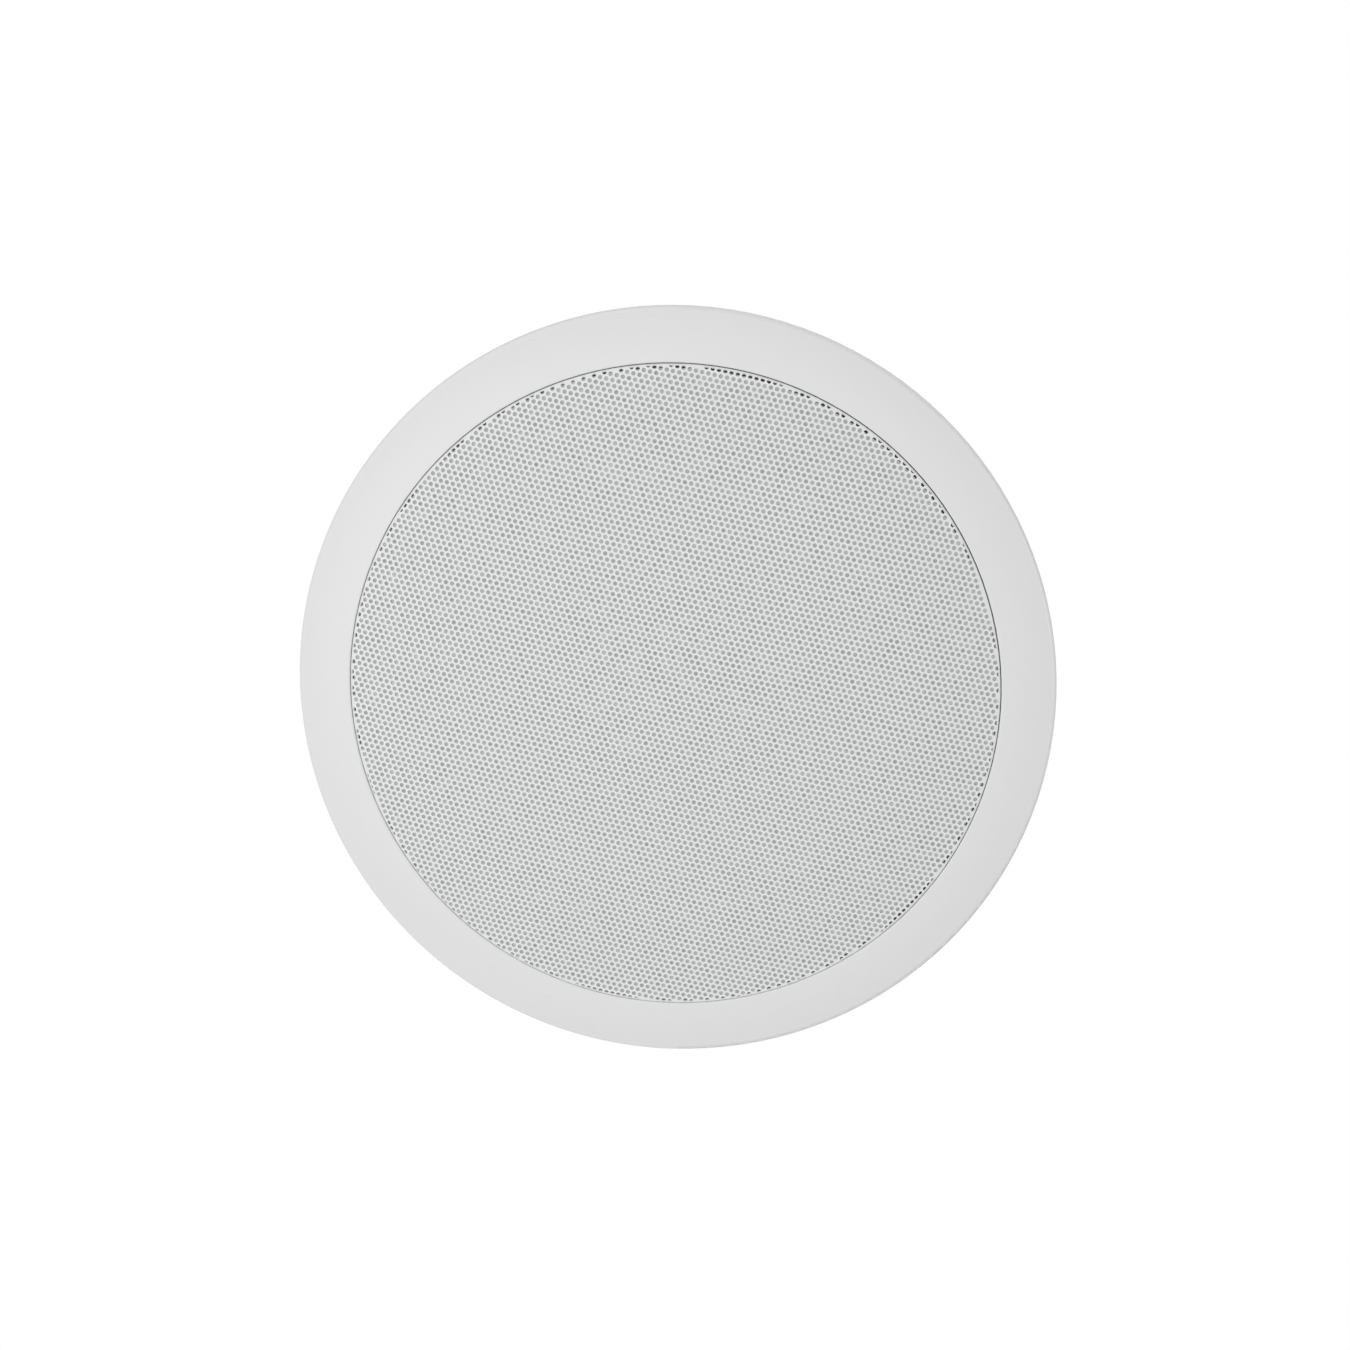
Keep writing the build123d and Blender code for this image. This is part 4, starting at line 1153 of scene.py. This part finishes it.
@dataclass
class Suspension:
    """The soft pieces that bend between the frame and the cone: surround, spider and tinsel leads."""

    sides: int = 144
    roll: float = 5.0 * MM
    roll_steps: int = 22
    rubber: float = 0.8 * MM
    inner_lip: float = 3.1 * MM
    cone_lap: float = 3.0 * MM
    waves: int = 4
    wave_rise: float = 1.5 * MM
    wave_steps: int = 8
    cloth: float = 0.5 * MM
    foot: float = 2.6 * MM
    former_gap: float = 0.05 * MM
    basket_sheet: float = 1.2 * MM
    shelf_inset: float = 1.6 * MM
    lead_hold: float = 4.0 * MM

    def build_surround(self) -> tuple[Piece, float, float]:
        """Spins the half roll between its two glued lips.

        Returns:
            The piece, and the radii at which it starts and stops to bend.
        """
        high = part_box("woofer_surround")[1]
        level = high[2] - self.rubber / 2
        crown = level - self.rubber / 2 - self.roll
        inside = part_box("woofer_cone")[1][0] - self.cone_lap
        near = inside + self.inner_lip
        far = near + 2 * self.roll
        profile = [(inside, level), (near, level)]
        profile += bow_points((near, level), (far, level), crown - level, self.roll_steps)
        profile.append((high[0], level))
        piece = Workbench.turned("surround_roll", profile, self.sides)
        Workbench.apply(piece, "SOLIDIFY", thickness=self.rubber, offset=0.0)
        return piece, far, near

    def build_spider(self) -> tuple[Piece, float, float]:
        """Spins the corrugated cloth between the coil former and the basket's shelf.

        Returns:
            The piece, and the radii at which it starts and stops to bend.
        """
        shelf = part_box("tag_strip")[0][2] - self.basket_sheet
        level = shelf - self.cloth / 2
        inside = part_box("voice_coil_former")[1][0] + self.former_gap
        near = inside + self.foot
        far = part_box("woofer_top_plate")[1][0] - self.shelf_inset
        step = (far - near) / (2 * self.waves)
        profile = [(inside, level), (near, level)]
        for wave in range(2 * self.waves):
            rise = -self.wave_rise if wave % 2 == 0 else self.wave_rise
            start = (near + wave * step, level)
            profile += bow_points(start, (start[0] + step, level), rise, self.wave_steps)
        profile.append((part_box("spider")[1][0], level))
        piece = Workbench.turned("spider_cloth", profile, self.sides)
        Workbench.apply(piece, "SOLIDIFY", thickness=self.cloth, offset=0.0)
        return piece, far, near

    def build_leads(self, material: bpy.types.Material) -> Piece:
        """Copies the tinsel leads, shades them smooth and dresses them.

        Args:
            material: Their material.

        Returns:
            The leads.
        """
        leads = Workbench.copy("tinsel_pair", "tinsel_leads")
        Workbench.smooth(leads, WIRE_ANGLE)
        Workbench.dress(leads, material)
        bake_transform(leads)
        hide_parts("tinsel_leads")
        return leads

    def build(self, materials: Materials) -> list[Piece]:
        """Builds and dresses the soft pieces.

        Args:
            materials: Materials by record slot.

        Returns:
            The new pieces.
        """
        pieces = []
        for made, slot, node in (
            (self.build_surround(), "black_rubber", "woofer_surround"),
            (self.build_spider(), "ochre_cloth", "spider"),
        ):
            piece, far, near = made
            Workbench.smooth(piece, SOFT_ANGLE)
            Workbench.dress(piece, materials[slot])
            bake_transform(piece)
            self._spread(piece, far, near)
            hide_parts(node)
            pieces.append(piece)
        return [*pieces, self.build_leads(materials["silver_braid"])]

    @staticmethod
    def _spread(piece: Piece, far: float, near: float) -> None:
        """Leaves the piece as it is.

        Args:
            piece: Not used.
            far: Not used.
            near: Not used.
        """


@dataclass
class ClampHardware:
    """Threaded clamp screws with a cross recess."""

    count: int = 4
    sides: int = 24
    pitch: float = 0.7 * MM
    root: float = 1.62 * MM
    crest: float = 2.0 * MM
    head_height: float = 2.6 * MM
    # The pan head's outline and its cross slots, as shares of the head's radius and height.
    head_outline: tuple[Point, ...] = (
        (0.0, 1.0), (0.55, 1.0), (0.86, 0.72), (1.0, 0.3), (1.0, 0.0), (0.0, 0.0)
    )
    slot_length: float = 1.15
    slot_width: float = 0.26
    slot_depth: float = 1.1
    tip: float = 1.2 * MM
    tip_overlap: float = 0.2 * MM
    tip_collar: float = 0.15 * MM
    tip_straight: float = 0.5 * MM
    tip_taper: float = 0.35 * MM

    def build_head(self, radius: float) -> Piece:
        """Makes the pan head below z = 0 and cuts its cross recess.

        Args:
            radius: The head's radius.

        Returns:
            The head.
        """
        height = self.head_height
        outline = [(radius * across, -height * up) for across, up in self.head_outline]
        head = Workbench.turned("screw_head", outline, 2 * self.sides)
        length, width = radius * self.slot_length, radius * self.slot_width
        for plan in ((length, width), (width, length)):
            cutter = Workbench.block((*plan, height * self.slot_depth), (0.0, 0.0, -height))
            Workbench.apply(head, "BOOLEAN", operation="DIFFERENCE", solver="EXACT", object=cutter)
            bpy.data.objects.remove(cutter)
        return head

    def build_screw(self, length: float, head: float) -> Piece:
        """Makes one screw on the Z axis with the underside of its head at z = 0.

        Args:
            length: From under the head to the tip.
            head: The head's radius.

        Returns:
            The screw.
        """
        cap = self.build_head(head)
        turns = int((length - self.tip) / self.pitch)
        groove = [(self.root, 0.0, 0.0), (self.crest, 0.0, self.pitch / 2), (self.root, 0.0, self.pitch)]
        thread = Workbench.new("screw_thread", groove, [(0, 1), (1, 2)])
        Workbench.wind(thread, self.pitch, turns, self.sides)
        Workbench.mend(thread, close=True)
        base = turns * self.pitch - self.tip_overlap
        collar = self.root + self.tip_collar
        outline = [(0.0, base), (collar, base), (collar, base + self.tip_straight),
                   (self.root - self.tip_taper, length), (0.0, length)]
        point = Workbench.turned("screw_tip", outline, self.sides)
        return Workbench.join("clamp_screw", [cap, thread, point])

    def build(self, materials: Materials) -> list[Piece]:
        """Builds a screw for each clamp, on the body that turns it.

        Args:
            materials: Materials by record slot.

        Returns:
            The new pieces.
        """
        plating = "plated_screw_steel"
        low, high = ends("clamp_screw_1")
        pattern = self.build_screw(high.z - low.z - self.head_height, (high.x - low.x) / 2)
        Workbench.smooth(pattern)
        pieces = []
        for number in range(1, self.count + 1):
            node = f"clamp_screw_{number}"
            low, high = ends(node)
            middle = (low + high) / 2
            place = Vector((middle.x, middle.y, low.z + self.head_height))
            piece = Workbench.duplicate(pattern, f"threaded_screw_{number}", place)
            pieces.append(Workbench.fit(piece, materials[plating], plating, [node], f"clamp_{number}_screw"))
        bpy.data.objects.remove(pattern)
        return pieces


@dataclass
class Crossover:
    """Wire turns, solder, traces, coloured leads and sprung contacts on the rear board."""

    # The inductor's outer layer of wire, the core under it and the tails to the board.
    wire: float = 0.42 * MM
    wire_sides: int = 10
    turn_spacing: float = 2.03
    coil_sides: int = 64
    core_radius: float = 4.3 * MM
    tail_out: float = 2.2 * MM
    tail_start: float = 2.0 * MM
    tail_bend: float = 3.0 * MM
    tail_side: float = 3.4 * MM
    tail_drop: float = 1.0 * MM
    tail_low: float = 0.6
    # A solder fillet, with its outline as shares of its radius and height.
    solder_radius: float = 1.5 * MM
    solder_height: float = 1.0 * MM
    solder_sides: int = 24
    solder_outline: tuple[Point, ...] = (
        (0.0, 0.0), (1.0, 0.0), (0.78, 0.18), (0.6, 0.5), (0.5, 0.85), (0.35, 1.0), (0.0, 1.0)
    )
    # The board's copper runs, and the places that they join.
    trace: float = 0.05 * MM
    trace_width: float = 2.4 * MM
    trace_edge: float = 0.015 * MM
    woofer_feed: Point = (-27.1 * MM, -1.925 * MM)
    tweeter_feed: Point = (-6.0 * MM, -19.8 * MM)
    tweeter_return: Point = (-2.0 * MM, -19.8 * MM)
    film_pin: Point = (-24.0 * MM, 0.9 * MM)
    can_pin: Point = (-24.5 * MM, -15.6 * MM)
    resistor_pin: Point = (10.5 * MM, -19.0 * MM)
    terminal_pin: Point = (16.0 * MM, 6.6 * MM)
    return_level: float = -1.6 * MM
    # How far a button goes, and what it leaves under the contact spring.
    button_travel: float = 2.5 * MM
    press_gap: float = 0.15 * MM

    @property
    def board(self) -> float:
        """The level of the board's upper face."""
        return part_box("circuit_board")[1][2]

    def build_winding(self) -> Piece:
        """Winds the inductor's outer layer of wire round a filled core.

        Returns:
            The winding, with its two tails to the board.
        """
        low, high = ends("inductor_winding")
        height = high.z - low.z
        turns = int(height / (self.turn_spacing * self.wire))
        lead = height / turns
        mid = (high.x - low.x) / 2 - self.wire
        ring = []
        for k in range(self.wire_sides):
            angle = 2 * math.pi * k / self.wire_sides
            ring.append((mid + self.wire * math.cos(angle), 0.0, self.wire * math.sin(angle)))
        loop = [(k, (k + 1) % self.wire_sides) for k in range(self.wire_sides)]
        layer = Workbench.new("winding_layer", ring, loop)
        Workbench.wind(layer, lead, turns - 1, self.coil_sides)
        Workbench.mend(layer)
        Workbench.shift(layer, Vector((0.0, 0.0, self.wire)))
        core = [(self.core_radius, 0.0), (mid, 0.0), (mid, height), (self.core_radius, height)]
        fill = Workbench.turned("winding_core", core, self.coil_sides, closed=True)
        drop = low.z - self.board
        tails = [
            self.build_tail("tail_start", mid, self.wire, drop, 1.0),
            self.build_tail("tail_end", mid, self.wire + (turns - 1) * lead, drop, -1.0),
        ]
        winding = Workbench.join("inductor_turns", [layer, fill, *tails])
        Workbench.shift(winding, Vector(((low.x + high.x) / 2, (low.y + high.y) / 2, low.z)))
        Workbench.smooth(winding, WIRE_ANGLE)
        return winding

    def build_tail(self, name: str, mid: float, start: float, drop: float, side: float) -> Piece:
        """Leads one end of the winding out and down to the board.

        Args:
            name: The tail's name.
            mid: The winding's radius to the middle of its wire.
            start: The level at which the winding ends.
            drop: How far the board is below the winding.
            side: 1.0 to leave towards +Y, -1.0 towards -Y.

        Returns:
            The tail.
        """
        out = mid + self.tail_out
        along = side * self.tail_side
        path = [
            (mid, 0.0, start), (mid, side * self.tail_start, start), (out, side * self.tail_bend, start),
            (out, along, start - self.tail_drop), (out, along, -drop * self.tail_low), (out, along, -drop),
        ]
        return Workbench.wire(name, path, self.wire)

    def build_solder(self, spots: Sequence[Point]) -> Piece:
        """Makes one fillet of solder round each wire that meets the board.

        Args:
            spots: Where the wires meet the board.

        Returns:
            All the fillets as one piece.
        """
        outline = [(self.solder_radius * r, self.solder_height * z) for r, z in self.solder_outline]
        pattern = Workbench.turned("solder", outline, self.solder_sides)
        joints = [Workbench.duplicate(pattern, "solder_joint", Vector((x, y, self.board))) for x, y in spots]
        bpy.data.objects.remove(pattern)
        solder = Workbench.join("solder_joints", joints)
        Workbench.smooth(solder, WIRE_ANGLE)
        return solder

    def build_traces(self, runs: Sequence[Sequence[Point]]) -> Piece:
        """Lays flat copper runs under the board's green mask.

        Args:
            runs: Each run's corners, along X or Y from one to the next.

        Returns:
            All the runs as one piece.
        """
        width = self.trace_width
        strips = []
        for run in runs:
            for (ax, ay), (bx, by) in zip(run, run[1:]):
                strip = Workbench.block((abs(bx - ax) + width, abs(by - ay) + width, self.trace))
                Workbench.shift(strip, Vector(((ax + bx) / 2, (ay + by) / 2, self.board + self.trace / 2)))
                strips.append(strip)
        traces = Workbench.join("board_traces", strips)
        Workbench.apply(traces, "BEVEL", width=self.trace_edge, segments=1)
        return traces

    def build_leads(self, node: str, finishes: Sequence[bpy.types.Material]) -> list[Piece]:
        """Splits a pair of leads so that each has its own colour.

        Args:
            node: The CAD node of the pair.
            finishes: One material a lead.

        Returns:
            The two leads.
        """
        pair = Workbench.copy(f"{node}_pair", node)
        with Workbench.editing(pair):
            bpy.ops.mesh.separate(type="LOOSE")
        leads = sorted(bpy.context.selected_objects, key=lambda lead: lead.bound_box[0][1])
        for number, (lead, finish) in enumerate(zip(leads, finishes), 1):
            lead.name = f"{node}_{number}"
            Workbench.smooth(lead, WIRE_ANGLE)
            Workbench.fit(lead, finish, "lead_insulation", [node])
        return leads

    def build_contact(self, name: str, material: bpy.types.Material) -> Piece:
        """Copies a contact spring and dresses it.

        Args:
            name: The button's colour, as in the names of its joint and its node.
            material: The spring's material.

        Returns:
            The spring.
        """
        node = f"contact_{name}"
        spring = Workbench.copy(f"{node}_spring", node)
        Workbench.smooth(spring)
        Workbench.fit(spring, material, "tinned_metal", [node])
        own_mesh(spring)
        return spring

    def build(self, materials: Materials) -> list[Piece]:
        """Builds everything that is added to the crossover.

        Args:
            materials: Materials by record slot and by extra name.

        Returns:
            The new pieces.
        """
        winding = Workbench.fit(
            self.build_winding(), materials["wound_copper"], "copper_wire", ["inductor_winding"]
        )
        low, high = ends("inductor_winding")
        tail_x = (low.x + high.x) / 2 + (high.x - low.x) / 2 - self.wire + self.tail_out
        hub_y = (low.y + high.y) / 2
        coil_in, coil_out = (tail_x, hub_y + self.tail_side), (tail_x, hub_y - self.tail_side)
        low_feed, high_feed, high_return = self.woofer_feed, self.tweeter_feed, self.tweeter_return
        low_return = (low_feed[0], -low_feed[1])
        spots = [coil_in, coil_out, low_feed, low_return, high_feed, high_return]
        solder = Workbench.fit(self.build_solder(spots), materials["solder"], "tinned_metal")
        bus = self.resistor_pin[0]
        pin = self.terminal_pin
        other_pin = (pin[0], -pin[1])
        runs = [
            [coil_in, (bus, coil_in[1]), (bus, pin[1]), pin],
            [coil_out, (coil_out[0], low_feed[1]), low_feed],
            [low_return, (self.film_pin[0], low_return[1]), self.film_pin],
            [high_feed, (high_feed[0], self.can_pin[1]), self.can_pin],
            [high_return, (high_return[0], self.return_level), (pin[0], self.return_level)],
            [self.resistor_pin, (bus, other_pin[1]), other_pin],
        ]
        traces = Workbench.fit(self.build_traces(runs), materials["board_trace"], "board_laminate")
        colours = (materials["red_lead"], materials["lead_insulation"])
        leads = self.build_leads("woofer_leads", colours) + self.build_leads("tweeter_leads", colours)
        springs = [self.build_contact(name, materials["tinned_metal"]) for name in ("red", "black")]
        return [winding, solder, traces, *leads, *springs]


@dataclass(frozen=True)
class Lamp:
    """One square area lamp aimed at the speaker."""

    name: str
    place: Spot
    size: float
    power: float

    def build(self) -> None:
        """Adds the lamp."""
        data = bpy.data.lights.new(self.name, "AREA")
        data.size = self.size
        data.energy = self.power
        lamp = Workbench.put(self.name, data)
        lamp.location = self.place
        lamp.rotation_euler = (-Vector(self.place)).to_track_quat("-Z", "Y").to_euler()


@dataclass(frozen=True)
class Studio:
    """Camera at the photograph's angle, soft lamps and a pale floor well below the ceiling."""

    eye: Spot = (0.066621, -0.160428, -0.765213)
    right: Spot = (0.99627, 0.0, 0.086285)
    up: Spot = (-0.017247, -0.979821, 0.199132)
    lens: float = 68.99
    sensor: float = 36.0
    clip_start: float = 0.02
    floor_level: float = -1.9
    floor_size: float = 60.0
    floor_glow: float = 0.42
    floor_tones: Point = (0.86, 0.90)
    floor_scale: float = 0.05
    ambient: float = 0.64
    lamps: tuple[Lamp, ...] = (
        Lamp("key_lamp", (-0.38, -0.06, -0.95), 0.8, 3.7),
        Lamp("fill_lamp", (0.98, 0.05, -1.4), 1.3, 1.85),
        Lamp("back_lamp", (0.6, -1.0, 1.5), 1.2, 7.2),
    )

    def build(self) -> None:
        """Sets up the camera, world, lamps and floor."""
        self._camera()
        self._world()
        for lamp in self.lamps:
            lamp.build()
        self._floor()

    def _camera(self) -> None:
        """Places the camera from its axes."""
        data = bpy.data.cameras.new("camera")
        data.lens = self.lens
        data.sensor_width = self.sensor
        data.clip_start = self.clip_start
        camera = Workbench.put("camera", data)
        right, up = Vector(self.right).normalized(), Vector(self.up).normalized()
        back = right.cross(up).normalized()
        axes = Matrix((right, up, back)).transposed().to_4x4()
        camera.matrix_world = Matrix.Translation(self.eye) @ axes
        bpy.context.scene.camera = camera

    def _world(self) -> None:
        """A plain sky that the camera sees as white."""
        world = bpy.data.worlds.new("studio")
        bpy.context.scene.world = world
        world.use_nodes = True
        graph = Graph(world.node_tree)
        strength = graph.math("MULTIPLY_ADD", graph.seen(), 1.0 - self.ambient, self.ambient)
        sky = graph.add("ShaderNodeBackground", Color=(1.0, 1.0, 1.0, 1.0), Strength=strength)
        graph.add("ShaderNodeOutputWorld", Surface=sky.outputs["Background"])

    def _floor(self) -> None:
        """A pale floor far enough below to stay behind the camera."""
        Workbench.deselect()
        bpy.ops.mesh.primitive_plane_add(size=self.floor_size, location=(0, 0, self.floor_level))
        floor = bpy.context.object
        floor.name = "studio_floor"
        material = bpy.data.materials.new("pale floor")
        material.use_nodes = True
        graph = Graph(material.node_tree)
        cloud = graph.noise(graph.place(), self.floor_scale, detail=2.0)
        darker, lighter = ((tone, tone, tone, 1.0) for tone in self.floor_tones)
        colour = graph.mix(cloud, darker, lighter)
        glow = graph.math("MULTIPLY", graph.seen(), self.floor_glow)
        shader = graph.add(
            "ShaderNodeBsdfPrincipled", Base_Color=colour, Roughness=0.9,
            Emission_Color=(1.0, 1.0, 1.0, 1.0), Emission_Strength=glow,
        )
        graph.add("ShaderNodeOutputMaterial", Surface=shader.outputs["BSDF"])
        Workbench.dress(floor, material)


def dress_nodes(frame: dict, materials: Materials) -> None:
    """Gives every CAD node the material of its record slot.

    Args:
        materials: Materials by record slot.
    """
    for part in frame["record"]["subparts"]:
        node = frame["nodes"][part["node"]]
        Workbench.dress(node, materials[part["material_slot"]])


def main() -> None:
    """Builds the speaker's visual pieces in order."""
    logging.basicConfig(level=logging.INFO, format="%(message)s")
    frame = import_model()
    bpy.context.scene.view_settings.view_transform = "Standard"
    library = PatternLibrary()
    materials = {name: finish.build(library) for name, finish in {**FINISHES, **EXTRA_FINISHES}.items()}
    dress_nodes(frame, materials)
    for assembly in (Grille.from_frame(), Suspension(), ClampHardware(), Crossover()):
        for piece in assembly.build(materials):
            LOG.info("built %s with %d faces", piece.name, len(piece.data.polygons))
    Studio().build()


if __name__ == "__main__":
    main()
